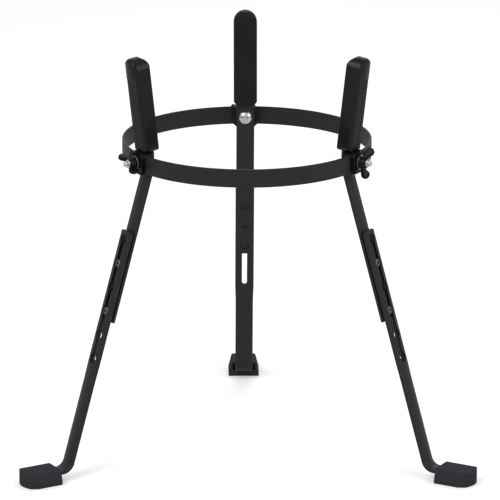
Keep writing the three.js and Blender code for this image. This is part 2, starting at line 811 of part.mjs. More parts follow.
/** One leg with its pad, clamp, screws and foot, built along +Y and turned round the ring. */
function makeLeg({ side, azimuthDegrees, nutTurnDegrees }) {
  const leg = new THREE.Group();
  leg.rotation.z = THREE.MathUtils.degToRad(azimuthDegrees - 90);

  const joint = new THREE.Group();
  joint.position.set(0, barFaceRadius, 0);
  leg.add(joint);
  joint.add(
    piece(`${side}_upper_leg`, blanks.upperLeg, powderCoat),
    piece(`${side}_clamp_block`, blanks.clampBlock, plastic),
    piece(`${side}_clamp_plate`, blanks.clampPlate, plastic),
    piece(`${side}_carriage_bolt`, blanks.carriageBolt, bright),
    piece(`${side}_washer`, blanks.washer, darkSteel),
    piece(`${side}_lower_leg`, blanks.lowerLeg, powderCoat),
  );

  const peg = new THREE.Group();
  peg.applyMatrix4(pegFrame);
  peg.add(piece(`${side}_pad`, blanks.pad, rubber));
  joint.add(peg);

  const wing = new THREE.Group();
  wing.rotation.y = THREE.MathUtils.degToRad(nutTurnDegrees);
  wing.add(
    piece(`${side}_wing_nut`, blanks.wingNut, plastic),
    piece(`${side}_wing_nut_insert`, blanks.nutInsert, bright),
  );
  joint.add(wing);

  const slope = new THREE.Group();
  slope.applyMatrix4(legFrame);
  Object.entries(screwSeats).forEach(([place, seat]) => {
    const screw = piece(`${side}_${place}_clamp_screw`, blanks.screw, darkSteel);
    const nut = piece(`${side}_${place}_clamp_nut`, blanks.screwNut, darkSteel);
    screw.position.z = -seatDrops[seat];
    nut.position.z = -seatDrops[seat];
    slope.add(screw, nut);
  });
  joint.add(slope);

  const foot = piece(`${side}_foot`, blanks.foot, footRubber);
  foot.position.copy(toeCorner);
  joint.add(foot);
  return leg;
}

const stand = new THREE.Group();
stand.add(piece('ring', makeRing(), powderCoat));
legs.forEach((leg) => stand.add(makeLeg(leg)));

// The origin goes to the floor under the middle of the part
stand.updateMatrixWorld(true);
const box = new THREE.Box3().setFromObject(stand, true);
const middle = box.getCenter(new THREE.Vector3());
stand.position.set(-middle.x, -middle.y, -box.min.z);
stand.updateMatrixWorld(true);

export default stand;
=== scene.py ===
"""Looks of a conga stand: a ring on three splayed legs, with pads, clamps, screws and feet.

Every model is drawn in millimetres in the frame of its own joint, then set in place in metres.
"""

import logging
import math
from dataclasses import dataclass, field
from enum import Enum
from typing import Callable, Sequence, Union

import bpy
from mathutils import Matrix, Vector


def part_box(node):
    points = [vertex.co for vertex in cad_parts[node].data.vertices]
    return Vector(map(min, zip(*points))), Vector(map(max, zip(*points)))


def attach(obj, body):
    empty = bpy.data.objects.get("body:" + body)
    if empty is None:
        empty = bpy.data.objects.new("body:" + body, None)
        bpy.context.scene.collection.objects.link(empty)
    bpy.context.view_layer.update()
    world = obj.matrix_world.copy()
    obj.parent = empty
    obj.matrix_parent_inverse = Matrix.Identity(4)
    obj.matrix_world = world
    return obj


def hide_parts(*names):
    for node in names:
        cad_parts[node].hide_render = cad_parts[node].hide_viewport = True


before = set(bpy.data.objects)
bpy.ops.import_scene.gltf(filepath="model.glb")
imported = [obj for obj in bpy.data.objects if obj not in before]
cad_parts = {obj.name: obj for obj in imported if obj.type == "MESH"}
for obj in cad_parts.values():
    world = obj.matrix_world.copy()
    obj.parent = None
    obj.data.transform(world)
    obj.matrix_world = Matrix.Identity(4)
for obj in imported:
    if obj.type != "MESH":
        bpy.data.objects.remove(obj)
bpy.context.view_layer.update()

LOG = logging.getLogger("conga_stand")
MILLIMETRE = 0.001
SAME_POINT = 1e-4
WELD = 1e-3
Point = tuple[float, ...]
Colour = tuple[float, float, float]


# ---------------------------------------------------------------- outlines

def arc(x: float, y: float, radius: float, start: float, end: float, steps: int) -> list[Point]:
    """Gives points on an arc, both ends included.

    Args:
        x: Centre, across.
        y: Centre, up.
        radius: Radius of the arc.
        start: First angle in degrees.
        end: Last angle in degrees.
        steps: Number of straight pieces.

    Returns:
        The points, as pairs.
    """
    angles = [math.radians(start + (end - start) * step / steps) for step in range(steps + 1)]
    return [(x + radius * math.cos(angle), y + radius * math.sin(angle)) for angle in angles]


def curve(first: Point, pull: Point, last: Point, steps: int) -> list[Point]:
    """Gives points on a soft corner that runs from first to last and leans towards pull.

    Args:
        first: Where the corner starts.
        pull: The sharp corner that is rounded off.
        last: Where the corner ends.
        steps: Number of straight pieces.

    Returns:
        The points, both ends included.
    """
    points = []
    for step in range(steps + 1):
        share = step / steps
        weights = ((1 - share) ** 2, 2 * share * (1 - share), share ** 2)
        points.append(tuple(sum(w * p[axis] for w, p in zip(weights, (first, pull, last)))
                            for axis in range(2)))
    return points


def rounded_box(width: float, low: float, high: float, low_radius: float, high_radius: float,
                steps: int = 6) -> list[Point]:
    """Gives a rectangle centred on x, with one corner radius below and one above.

    Args:
        width: Width across.
        low: Lower edge.
        high: Upper edge.
        low_radius: Radius of the two lower corners.
        high_radius: Radius of the two upper corners.
        steps: Straight pieces in each corner.

    Returns:
        The points, counter-clockwise.
    """
    half = width / 2
    return (arc(-half + low_radius, low + low_radius, low_radius, 180, 270, steps)
            + arc(half - low_radius, low + low_radius, low_radius, 270, 360, steps)
            + arc(half - high_radius, high - high_radius, high_radius, 0, 90, steps)
            + arc(-half + high_radius, high - high_radius, high_radius, 90, 180, steps))


def distinct(points: Sequence[Point]) -> list[Point]:
    """Drops points that repeat the one before, or the first one at the end."""
    kept = [points[0]]
    for point in points[1:]:
        if math.dist(point, kept[-1]) > SAME_POINT:
            kept.append(point)
    if math.dist(kept[0], kept[-1]) < SAME_POINT:
        kept.pop()
    return kept


def upright(outline: Sequence[Point], depth: float) -> list[Vector]:
    """Stands an outline of x and z up at a depth along Y."""
    return [Vector((x, depth, z)) for x, z in distinct(outline)]


def level(outline: Sequence[Point], height: float) -> list[Vector]:
    """Lays an outline of x and y at a height."""
    return [Vector((x, y, height)) for x, y in distinct(outline)]


def sideways(outline: Sequence[Point], x: float) -> list[Vector]:
    """Stands an outline of y and z up at a place along X."""
    return [Vector((x, y, z)) for y, z in distinct(outline)]


def square(half: float) -> list[Point]:
    """Gives a square round the origin, from half its side."""
    return [(-half, -half), (half, -half), (half, half), (-half, half)]


def shift(x: float, y: float, z: float) -> Matrix:
    """Gives the matrix of a move."""
    return Matrix.Translation((x, y, z))


def rotation(degrees: float, axis: str) -> Matrix:
    """Gives the matrix of a turn about an axis through the origin."""
    return Matrix.Rotation(math.radians(degrees), 4, axis)


# ---------------------------------------------------------------- the bench

class Join(Enum):
    """How a second shape acts on the first."""

    CUT = "DIFFERENCE"
    ADD = "UNION"
    COMMON = "INTERSECT"


@dataclass(frozen=True)
class Straight:
    """A straight run of a swept bar, which may end narrower or wider."""

    length: float
    widen: float = 1.0


@dataclass(frozen=True)
class Bend:
    """A round bend of a swept bar towards its crowned face."""

    radius: float
    degrees: float
    steps: int = 8

    @property
    def setback(self) -> float:
        """Length that the bend takes from the straight run on each side of the corner."""
        return self.radius * math.tan(math.radians(self.degrees) / 2)


class Bench:
    """The modelling steps that every piece is made with, on one object at a time."""

    @staticmethod
    def clear() -> None:
        """Returns to object mode with nothing selected."""
        if bpy.context.mode != "OBJECT":
            bpy.ops.object.mode_set(mode="OBJECT")
        bpy.ops.object.select_all(action="DESELECT")

    @staticmethod
    def take(piece: bpy.types.Object) -> bpy.types.Object:
        """Makes one piece the only selected one, and the active one."""
        Bench.clear()
        piece.select_set(True)
        bpy.context.view_layer.objects.active = piece
        return piece

    @staticmethod
    def edit(piece: bpy.types.Object) -> None:
        """Opens a piece in edit mode with all of it selected."""
        Bench.take(piece)
        bpy.ops.object.mode_set(mode="EDIT")
        bpy.ops.mesh.select_all(action="SELECT")

    @staticmethod
    def discard(piece: bpy.types.Object) -> None:
        """Throws a tool shape or a model away."""
        Bench.take(piece)
        bpy.ops.object.delete()

    @staticmethod
    def draw(points: Sequence[Vector], fill: bool = True) -> bpy.types.Object:
        """Draws a line from point to point.

        Args:
            points: The corners in order.
            fill: Whether the line is closed and filled with a face.

        Returns:
            The new object, left in edit mode with all of it selected.
        """
        Bench.clear()
        bpy.ops.mesh.primitive_plane_add(size=1, location=points[0])
        bpy.ops.object.transform_apply(location=True)
        bpy.ops.object.mode_set(mode="EDIT")
        bpy.ops.mesh.select_all(action="SELECT")
        bpy.ops.mesh.merge(type="CENTER")
        for here, there in zip(points, points[1:]):
            bpy.ops.mesh.extrude_vertices_move(TRANSFORM_OT_translate={"value": there - here})
        bpy.ops.mesh.select_all(action="SELECT")
        if fill:
            bpy.ops.mesh.edge_face_add()
        return bpy.context.object

    @staticmethod
    def close(piece: bpy.types.Object) -> bpy.types.Object:
        """Merges doubled points and turns every face outwards."""
        Bench.edit(piece)
        bpy.ops.mesh.remove_doubles(threshold=WELD)
        bpy.ops.mesh.normals_make_consistent(inside=False)
        bpy.ops.object.mode_set(mode="OBJECT")
        return piece

    @staticmethod
    def prism(points: Sequence[Vector], push: Point, rim: float = 0.0,
              rim_steps: int = 9) -> bpy.types.Object:
        """Draws an outline and pushes it into a solid.

        Args:
            points: The outline.
            push: How far the outline is extruded, as a vector.
            rim: Radius of the rounding round the pushed face.
            rim_steps: Facets across that rounding.

        Returns:
            The solid.
        """
        piece = Bench.draw(points)
        bpy.ops.mesh.extrude_region_move(TRANSFORM_OT_translate={"value": push})
        if rim:
            bpy.ops.mesh.bevel(offset=rim, segments=rim_steps, affect="EDGES",
                               clamp_overlap=False)
        return Bench.close(piece)

    @staticmethod
    def lathe(profile: Sequence[Point], steps: int = 48) -> bpy.types.Object:
        """Spins a profile of radius and y about the Y axis.

        Args:
            profile: Pairs of radius and y, from pole to pole or as a closed loop.
            steps: Pieces round the turn.

        Returns:
            The solid.
        """
        piece = Bench.draw([Vector((radius, y, 0)) for radius, y in profile], fill=False)
        bpy.ops.mesh.spin(steps=steps, angle=2 * math.pi, center=(0, 0, 0), axis=(0, 1, 0))
        return Bench.close(piece)

    @staticmethod
    def rod(radius: float, low: float, high: float, chamfer: float = 0.0) -> bpy.types.Object:
        """Makes a round rod along Y, as a solid or as a drill.

        Args:
            radius: Radius of the rod.
            low: Where it starts.
            high: Where it ends.
            chamfer: Bevel round the end at high.

        Returns:
            The rod.
        """
        rim = [(radius, high - chamfer), (radius - chamfer, high)] if chamfer else [(radius, high)]
        return Bench.lathe([(0, low), (radius, low)] + rim + [(0, high)])

    @staticmethod
    def sweep(points: Sequence[Vector], start: Vector, heading: Vector,
              runs: Sequence[Union[Straight, Bend]]) -> bpy.types.Object:
        """Draws a section and sweeps it along straight runs and bends in the YZ plane.

        Args:
            points: The section, already square to the heading.
            start: Where the line of the bar's flat face starts.
            heading: Unit vector along the first run.
            runs: The straight runs and bends in order.

        Returns:
            The bar.
        """
        piece = Bench.draw(points)
        place, along = start.copy(), heading.copy()
        for run in runs:
            if isinstance(run, Straight):
                step = along * run.length
                bpy.ops.mesh.extrude_region_move(TRANSFORM_OT_translate={"value": step})
                if run.widen != 1.0:
                    bpy.ops.transform.resize(value=(run.widen, 1, 1))
                place += step
                continue
            centre = place + Vector((0, -along.z, along.y)) * run.radius
            turn = Matrix.Rotation(math.radians(run.degrees), 3, "X")
            bpy.ops.mesh.spin(steps=run.steps, angle=-math.radians(run.degrees),
                              center=centre, axis=(1, 0, 0))
            place = centre + turn @ (place - centre)
            along = turn @ along
        return Bench.close(piece)

    @staticmethod
    def move(piece: bpy.types.Object, place: Matrix) -> bpy.types.Object:
        """Moves a piece and applies the move to its mesh."""
        Bench.take(piece)
        piece.matrix_world = place
        bpy.ops.object.transform_apply(location=True, rotation=True, scale=True)
        return piece

    @staticmethod
    def modify(piece: bpy.types.Object, kind: str, **settings: object) -> bpy.types.Object:
        """Adds one modifier with its settings and applies it.

        Args:
            piece: What is modified.
            kind: The modifier's type.
            **settings: Its settings by name.

        Returns:
            The piece.
        """
        Bench.take(piece)
        bpy.ops.object.modifier_add(type=kind)
        modifier = piece.modifiers[-1]
        for name, value in settings.items():
            setattr(modifier, name, value)
        bpy.ops.object.modifier_apply(modifier=modifier.name)
        return piece

    @staticmethod
    def join(piece: bpy.types.Object, tool: bpy.types.Object, how: Join) -> bpy.types.Object:
        """Cuts a tool shape out of a piece, adds it, or keeps what they share.

        Args:
            piece: The piece that stays.
            tool: The shape that acts on it and is then thrown away.
            how: What the tool does.

        Returns:
            The piece.
        """
        Bench.modify(piece, "BOOLEAN", operation=how.value, solver="EXACT", object=tool)
        Bench.discard(tool)
        return piece

    @staticmethod
    def soften(piece: bpy.types.Object, width: float, steps: int = 3,
               angle: float = 32) -> bpy.types.Object:
        """Rounds every edge sharper than an angle.

        Args:
            piece: What is rounded.
            width: Width of the rounding.
            steps: Facets across it.
            angle: Sharpness in degrees from which an edge counts.

        Returns:
            The piece.
        """
        return Bench.modify(piece, "BEVEL", width=width, segments=steps, limit_method="ANGLE",
                            angle_limit=math.radians(angle), use_clamp_overlap=False,
                            miter_outer="MITER_ARC")

    @staticmethod
    def shade(piece: bpy.types.Object, angle: float = 38) -> bpy.types.Object:
        """Shades a piece smooth up to an angle, with large faces kept flat."""
        Bench.take(piece)
        bpy.ops.object.shade_smooth_by_angle(angle=math.radians(angle))
        return Bench.modify(piece, "WEIGHTED_NORMAL", keep_sharp=True, weight=80)

    @staticmethod
    def mould(piece: bpy.types.Object, voxel: float, repeats: int) -> bpy.types.Object:
        """Turns joined shapes into one moulded form with soft inner and outer corners.

        Args:
            piece: What is moulded.
            voxel: Size of its new faces.
            repeats: How often the form is relaxed.

        Returns:
            The piece.
        """
        Bench.modify(piece, "REMESH", mode="VOXEL", voxel_size=voxel, use_smooth_shade=True)
        Bench.modify(piece, "SMOOTH", factor=0.5, iterations=repeats)
        Bench.take(piece)
        bpy.ops.object.shade_smooth()
        return piece

    @staticmethod
    def copy(model: bpy.types.Object, name: str, place: Matrix) -> bpy.types.Object:
        """Copies a model with its own mesh and sets the copy in place.

        Args:
            model: The model in millimetres.
            name: Name of the copy.
            place: Its place in metres.

        Returns:
            The copy, at the origin with its place in its mesh.
        """
        Bench.take(model)
        bpy.ops.object.duplicate()
        piece = bpy.context.object
        piece.name = piece.data.name = name
        return Bench.move(piece, place)


# ---------------------------------------------------------------- shader wiring

Wired = Union["Wire", float]


class Wire:
    """A socket that carries a value, with arithmetic that adds Math nodes."""

    def __init__(self, shader: "Shader", socket: bpy.types.NodeSocket) -> None:
        """Wraps an output socket of a shader's node."""
        self.shader = shader
        self.socket = socket

    def _math(self, operation: str, first: Wired, second: Wired = 0.0) -> "Wire":
        """Adds one Math node for two values."""
        return self.shader.node("ShaderNodeMath", {"operation": operation}, {0: first, 1: second})

    def __add__(self, other: Wired) -> "Wire":
        """Adds a value."""
        return self._math("ADD", self, other)

    def __radd__(self, other: Wired) -> "Wire":
        """Adds to a plain number."""
        return self._math("ADD", other, self)

    def __sub__(self, other: Wired) -> "Wire":
        """Takes a value off."""
        return self._math("SUBTRACT", self, other)

    def __rsub__(self, other: Wired) -> "Wire":
        """Takes this off a plain number."""
        return self._math("SUBTRACT", other, self)

    def __mul__(self, other: Wired) -> "Wire":
        """Multiplies by a value."""
        return self._math("MULTIPLY", self, other)

    def __rmul__(self, other: Wired) -> "Wire":
        """Multiplies a plain number."""
        return self._math("MULTIPLY", other, self)

    def between(self, low: float, high: float) -> "Wire":
        """Gives 0 at low and below, 1 at high and above, and a smooth step between them."""
        return self.shader.node("ShaderNodeMapRange", {"interpolation_type": "SMOOTHSTEP"},
                                {0: self, 1: low, 2: high})


class Shader:
    """The nodes of a material, or of the world, under construction."""

    def __init__(self, owner: Union[bpy.types.Material, bpy.types.World],
                 output: str = "ShaderNodeOutputMaterial") -> None:
        """Clears the owner's nodes and adds its output node."""
        owner.use_nodes = True
        self.owner = owner
        self.tree = owner.node_tree
        self.tree.nodes.clear()
        self.output = self.tree.nodes.new(output)

    def node(self, kind: str, settings: dict[str, object] | None = None,
             sockets: dict[Union[int, str], object] | None = None,
             result: Union[int, str] = 0) -> Wire:
        """Adds a node.

        Args:
            kind: The node's type.
            settings: Its settings, set first.
            sockets: Values or links of its inputs.
            result: Which output is wanted.

        Returns:
            The output as a wire.
        """
        node = self.tree.nodes.new(kind)
        for name, value in (settings or {}).items():
            setattr(node, name, value)
        for name, value in (sockets or {}).items():
            if isinstance(value, Wire):
                self.tree.links.new(value.socket, node.inputs[name])
            else:
                node.inputs[name].default_value = value
        return Wire(self, node.outputs[result])

    def places(self, stretch: Point = (1, 1, 1)) -> Wire:
        """Gives places on the object in metres, stretched for grain that runs one way."""
        coordinates = self.node("ShaderNodeTexCoord", result="Object")
        return self.node("ShaderNodeMapping", None, {"Vector": coordinates, "Scale": stretch})

    def noise(self, scale: float, detail: float = 3, roughness: float = 0.55,
              stretch: Point = (1, 1, 1)) -> Wire:
        """Gives cloudy noise between 0 and 1.

        Args:
            scale: Patches per metre.
            detail: Octaves.
            roughness: Weight of the finer octaves.
            stretch: Scale along each axis.

        Returns:
            The noise.
        """
        return self.node("ShaderNodeTexNoise", None, {
            "Vector": self.places(stretch), "Scale": scale, "Detail": detail,
            "Roughness": roughness})

    def edges(self, low: float, high: float) -> Wire:
        """Gives 1 on worn outer edges and 0 elsewhere."""
        return self.node("ShaderNodeNewGeometry", result="Pointiness").between(low, high)

    def mix(self, share: Wired, first: object, second: object) -> Wire:
        """Mixes two colours.

        Args:
            share: 0 for the first colour, 1 for the second.
            first: A colour or a wire.
            second: A colour or a wire.

        Returns:
            The mixed colour.
        """
        as_colour: Callable = lambda c: c if isinstance(c, Wire) else (*c, 1.0)
        return self.node("ShaderNodeMix", {"data_type": "RGBA", "clamp_factor": True},
                         {0: share, 6: as_colour(first), 7: as_colour(second)}, result=2)

    def bump(self, height: Wire, strength: float, depth: float) -> Wire:
        """Turns a height into a bumped normal.

        Args:
            height: Height between 0 and 1.
            strength: How strongly it shows.
            depth: Depth in metres from 0 to 1.

        Returns:
            The normal.
        """
        return self.node("ShaderNodeBump", None, {
            "Height": height, "Strength": strength, "Distance": depth})

    def seen(self) -> Wire:
        """Gives 1 for what the camera, a gloss or a glass sees, and 0 for other light."""
        rays = [self.node("ShaderNodeLightPath", result=name) for name in
                ("Is Camera Ray", "Is Glossy Ray", "Is Transmission Ray")]
        return rays[0] + rays[1] + rays[2]

    def show(self, wire: Wire) -> Union[bpy.types.Material, bpy.types.World]:
        """Leads a surface or background to the output and gives back the owner."""
        self.tree.links.new(wire.socket, self.output.inputs["Surface"])
        return self.owner

    def surface(self, **sockets: object) -> bpy.types.Material:
        """Finishes the material with a principled surface.

        Args:
            **sockets: Values or wires by socket name, with underscores for spaces.

        Returns:
            The material.
        """
        inputs = {name.replace("_", " "): value for name, value in sockets.items()}
        return self.show(self.node("ShaderNodeBsdfPrincipled", None, inputs))


# ---------------------------------------------------------------- finishes

@dataclass(frozen=True)
class PowderCoat:
    """Satin black powder coat on steel: orange peel, fine grain and rubbed edges."""

    name: str = "powder_coated_steel"
    deep: Colour = (0.0080, 0.0080, 0.0093)
    pale: Colour = (0.0132, 0.0132, 0.0150)
    rubbed: Colour = (0.050, 0.050, 0.053)
    gloss: float = 0.46

    def make(self) -> bpy.types.Material:
        """Builds the material."""
        shader = Shader(bpy.data.materials.new(self.name))
        cloud = shader.noise(22, 4)
        peel = shader.noise(950, 2, 0.5)
        grain = shader.noise(4200, 2, 0.6)
        dust = shader.noise(70, 6, 0.7).between(0.56, 0.78)
        rub = shader.edges(0.53, 0.62) * shader.noise(160, 4).between(0.42, 0.68)
        colour = shader.mix(cloud * 0.7 + grain * 0.3, self.deep, self.pale)
        colour = shader.mix(dust * 0.22, colour, self.rubbed)
        colour = shader.mix(rub * 0.55, colour, self.rubbed)
        return shader.surface(
            Base_Color=colour,
            Roughness=0.55,
            Normal=shader.bump(peel * 0.65 + grain * 0.35, 0.35, 0.00016),
            Coat_Weight=self.gloss - cloud * 0.05 - dust * 0.10 + rub * 0.15,
            Coat_Roughness=0.46,
            Specular_IOR_Level=0.0)


@dataclass(frozen=True)
class Rubber:
    """Moulded black rubber with a fine matt skin and a breath of bloom."""

    name: str
    deep: Colour
    pale: Colour
    bloom: Colour
    roughness: float
    gloss: float

    def make(self) -> bpy.types.Material:
        """Builds the material."""
        shader = Shader(bpy.data.materials.new(self.name))
        cloud = shader.noise(45, 5, 0.6)
        skin = shader.noise(2600, 3, 0.6)
        pores = shader.node("ShaderNodeTexVoronoi", None, {
            "Vector": shader.places(), "Scale": 1500.0})
        bloom = shader.noise(28, 6, 0.72).between(0.45, 0.80)
        rub = shader.edges(0.52, 0.60) * shader.noise(240, 4).between(0.35, 0.70)
        colour = shader.mix(cloud * 0.6 + skin * 0.4, self.deep, self.pale)
        colour = shader.mix(bloom * 0.35 + rub * 0.45, colour, self.bloom)
        return shader.surface(
            Base_Color=colour,
            Roughness=0.80,
            Normal=shader.bump(skin * 0.6 + pores * 0.4, 0.4, 0.00012),
            Coat_Weight=self.gloss - bloom * 0.06 + rub * 0.05,
            Coat_Roughness=self.roughness,
            Specular_IOR_Level=0.0)


@dataclass(frozen=True)
class GlossPlastic:
    """Glossy black moulding with faint flow marks and hairline scratches."""

    name: str = "clamp_plastic"
    deep: Colour = (0.0030, 0.0040, 0.0040)
    pale: Colour = (0.0055, 0.0074, 0.0073)
    scuffed: Colour = (0.040, 0.044, 0.044)

    def make(self) -> bpy.types.Material:
        """Builds the material."""
        shader = Shader(bpy.data.materials.new(self.name))
        flow = shader.noise(120, 5, 0.6, stretch=(1, 1, 0.35))
        fine = shader.noise(1800, 2)
        scratches = shader.noise(2600, 2, 0.5, stretch=(1, 0.08, 1)).between(0.60, 0.72)
        rub = shader.edges(0.54, 0.64) * shader.noise(300, 4).between(0.40, 0.70)
        colour = shader.mix(flow, self.deep, self.pale)
        colour = shader.mix(scratches * 0.12 + rub * 0.40, colour, self.scuffed)
        return shader.surface(
            Base_Color=colour,
            Roughness=0.40,
            Normal=shader.bump(flow * 0.5 + fine * 0.3 + scratches * 0.2, 0.22, 0.00010),
            Coat_Weight=0.22 - flow * 0.04 - scratches * 0.06 - rub * 0.06,
            Coat_Roughness=0.16,
            Specular_IOR_Level=0.0)


@dataclass(frozen=True)
class PlatedSteel:
    """Plated steel: bright nickel or black zinc, with fine turned lines and dull spots."""

    name: str
    deep: Colour
    pale: Colour
    tarnish: Colour
    roughness: float

    def make(self) -> bpy.types.Material:
        """Builds the material."""
        shader = Shader(bpy.data.materials.new(self.name))
        cloud = shader.noise(210, 4)
        lines = shader.noise(1400, 3, 0.6, stretch=(1, 1, 4))
        spots = shader.noise(900, 5, 0.7).between(0.60, 0.80)
        colour = shader.mix(cloud * 0.6 + lines * 0.4, self.deep, self.pale)
        colour = shader.mix(spots * 0.45, colour, self.tarnish)
        return shader.surface(
            Base_Color=colour,
            Metallic=0.98 - spots * 0.20,
            Roughness=self.roughness + lines * 0.10 + spots * 0.18,
            Normal=shader.bump(lines, 0.18, 0.00006))


class Finish(Enum):
    """What a piece of the stand can be finished with."""

    POWDER_COAT = PowderCoat()
    PAD_RUBBER = Rubber("pad_rubber", (0.0022, 0.0020, 0.0029), (0.0046, 0.0042, 0.0058),
                        (0.013, 0.012, 0.015), 0.26, 0.35)
    FOOT_RUBBER = Rubber("foot_rubber", (0.0262, 0.0248, 0.0305), (0.0355, 0.0338, 0.0410),
                         (0.058, 0.056, 0.062), 0.50, 0.08)
    MOULDING = GlossPlastic()
    NICKEL = PlatedSteel("nickel_plate", (0.30, 0.295, 0.30), (0.50, 0.49, 0.50),
                         (0.17, 0.165, 0.16), 0.15)
    BLACK_ZINC = PlatedSteel("dark_zinc", (0.050, 0.050, 0.053), (0.105, 0.105, 0.110),
                             (0.030, 0.029, 0.028), 0.30)
    BRIGHT_ZINC = PlatedSteel("bright_zinc", (0.20, 0.20, 0.21), (0.36, 0.36, 0.37),
                              (0.12, 0.12, 0.115), 0.28)
    PAINTED_NUT = PowderCoat("painted_nut", (0.0060, 0.0060, 0.0070), (0.0100, 0.0100, 0.0115),
                             (0.035, 0.035, 0.037), 0.40)

    @property
    def slot(self) -> str:
        """The material slot that the finish fills: washers and nuts share the screws'."""
        if self in (Finish.BRIGHT_ZINC, Finish.PAINTED_NUT):
            return Finish.BLACK_ZINC.value.name
        return self.value.name


class FinishSet:
    """The finishes of the stand, each made once."""

    def __init__(self) -> None:
        """Makes every finish."""
        self.made = {finish: finish.value.make() for finish in Finish}

    def dress(self, piece: bpy.types.Object, finish: Finish) -> None:
        """Gives a piece its finish."""
        piece.data.materials.clear()
        piece.data.materials.append(self.made[finish])


# ---------------------------------------------------------------- frames of the stand

GAP = 0.3
THREAD_GAP = 0.15
OVERRUN = 2.0
CLEAR = 0.05  # keeps the faces of two shapes from lying in one another where they would touch
BOLT_HOLE = 8.6


@dataclass(frozen=True)
class BarStock:
    """The crowned flat steel that both leg halves are bent from."""

    width: float = 25.0
    edge: float = 4.2
    crown: float = 2.2
    corner: float = 0.9
    bend: float = 22.0
    crown_steps: int = 14

    @property
    def thickness(self) -> float:
        """Thickness at the middle."""
        return self.edge + self.crown

    @property
    def crown_radius(self) -> float:
        """Radius of the crowned face across the bar."""
        return ((self.width / 2) ** 2 + self.crown ** 2) / (2 * self.crown)

    def section(self, width: float, growth: float = 0.0) -> list[Point]:
        """Gives the bar's section: flat below, crowned above.

        Args:
            width: Width across.
            growth: How much larger it is on every side.

        Returns:
            The outline as pairs of x and thickness.
        """
        half, radius, corner = width / 2 + growth, self.crown_radius + growth, self.corner
        centre = self.thickness - self.crown_radius
        crown = lambda x: centre + math.sqrt(radius ** 2 - x ** 2)
        shoulder = half - corner
        right = curve((half, crown(half) - corner), (half, crown(half)),
                      (shoulder, crown(shoulder)), 4)
        steps = self.crown_steps
        over = [(shoulder - 2 * shoulder * step / steps,
                 crown(shoulder - 2 * shoulder * step / steps)) for step in range(1, steps)]
        left = [(-x, y) for x, y in reversed(right)]
        return (arc(-half + corner, -growth + corner, corner, 180, 270, 4)
                + arc(half - corner, -growth + corner, corner, 270, 360, 4)
                + right + over + left)


@dataclass(frozen=True)
class RingSizes:
    """The rolled band."""

    outer: float = 169.5
    thickness: float = 3.0
    height: float = 25.0
    edge: float = 0.9

    @property
    def inner(self) -> float:
        """Inner radius."""
        return self.outer - self.thickness


@dataclass(frozen=True)
class LegSizes:
    """Lengths and angles of the legs, measured from the corners of their bends."""

    above: float = 13.5
    below: float = 9.0
    lean: float = 6.85
    splay: float = 16.82
    peg: float = 122.0
    upper: float = 215.9
    lower_top: float = 90.6
    lower: float = 337.15
    toe: float = 58.3
    first_seat: float = 102.7
    seat_pitch: float = 33.35
    seats: int = 6


BAR = BarStock()
RING = RingSizes()
LEG = LegSizes()
BLOCK_OUTER = RING.inner - GAP
BLOCK_THICKNESS = 8.0
BAR_FACE = BLOCK_OUTER - BLOCK_THICKNESS - GAP - BAR.thickness
LOWER_FACE = BAR.thickness + GAP
PEG_FRAME = shift(0, 0, LEG.above) @ rotation(-LEG.lean, "X")
LEG_FRAME = shift(0, 0, -LEG.below) @ rotation(LEG.splay, "X")
SEATS = [LEG.first_seat + LEG.seat_pitch * seat for seat in range(LEG.seats)]
SCREW_SEATS = {"upper": SEATS[1], "lower": SEATS[3]}
PIP_SEATS = (SEATS[0], SEATS[2])


@dataclass(frozen=True)
class ClampSizes:
    """Sizes that the ring clamp and its wing nut share, measured from the bar's inner face."""

    plate: float = 4.0
    bolt: float = 8.0
    washer: float = 20.0
    washer_thickness: float = 1.2
    hub_height: float = 9.0
    insert_proud: float = 1.6

    @property
    def plate_outer(self) -> float:
        """Outer face of the plate."""
        return RING.outer + GAP + self.plate - BAR_FACE

    @property
    def nut_base(self) -> float:
        """Foot of the wing nut."""
        return self.plate_outer + GAP + self.washer_thickness + GAP


CLAMP = ClampSizes()


class Side(Enum):
    """The three legs: azimuth round the ring and turn of the wing nut, in degrees."""

    REAR = ("rear", 90, 25)
    LEFT = ("left", 210, -22)
    RIGHT = ("right", 330, 65)

    def __init__(self, label: str, azimuth: float, wing_turn: float) -> None:
        """Keeps the leg's name and angles."""
        self.label = label
        self.azimuth = azimuth
        self.wing_turn = wing_turn


def ring_frame() -> Matrix:
    """Gives the middle of the ring: millimetres in, metres out."""
    low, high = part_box("ring")
    return Matrix.Translation((low + high) / 2) @ Matrix.Scale(MILLIMETRE, 4)


def joint_frame(side: Side) -> Matrix:
    """Gives the middle of a leg's joint on the bar's inner face, X along the ring, Y outwards."""
    return ring_frame() @ rotation(side.azimuth - 90, "Z") @ shift(0, BAR_FACE, 0)


def at_joint(_: Side) -> Matrix:
    """Leaves a model where the joint is."""
    return Matrix.Identity(4)


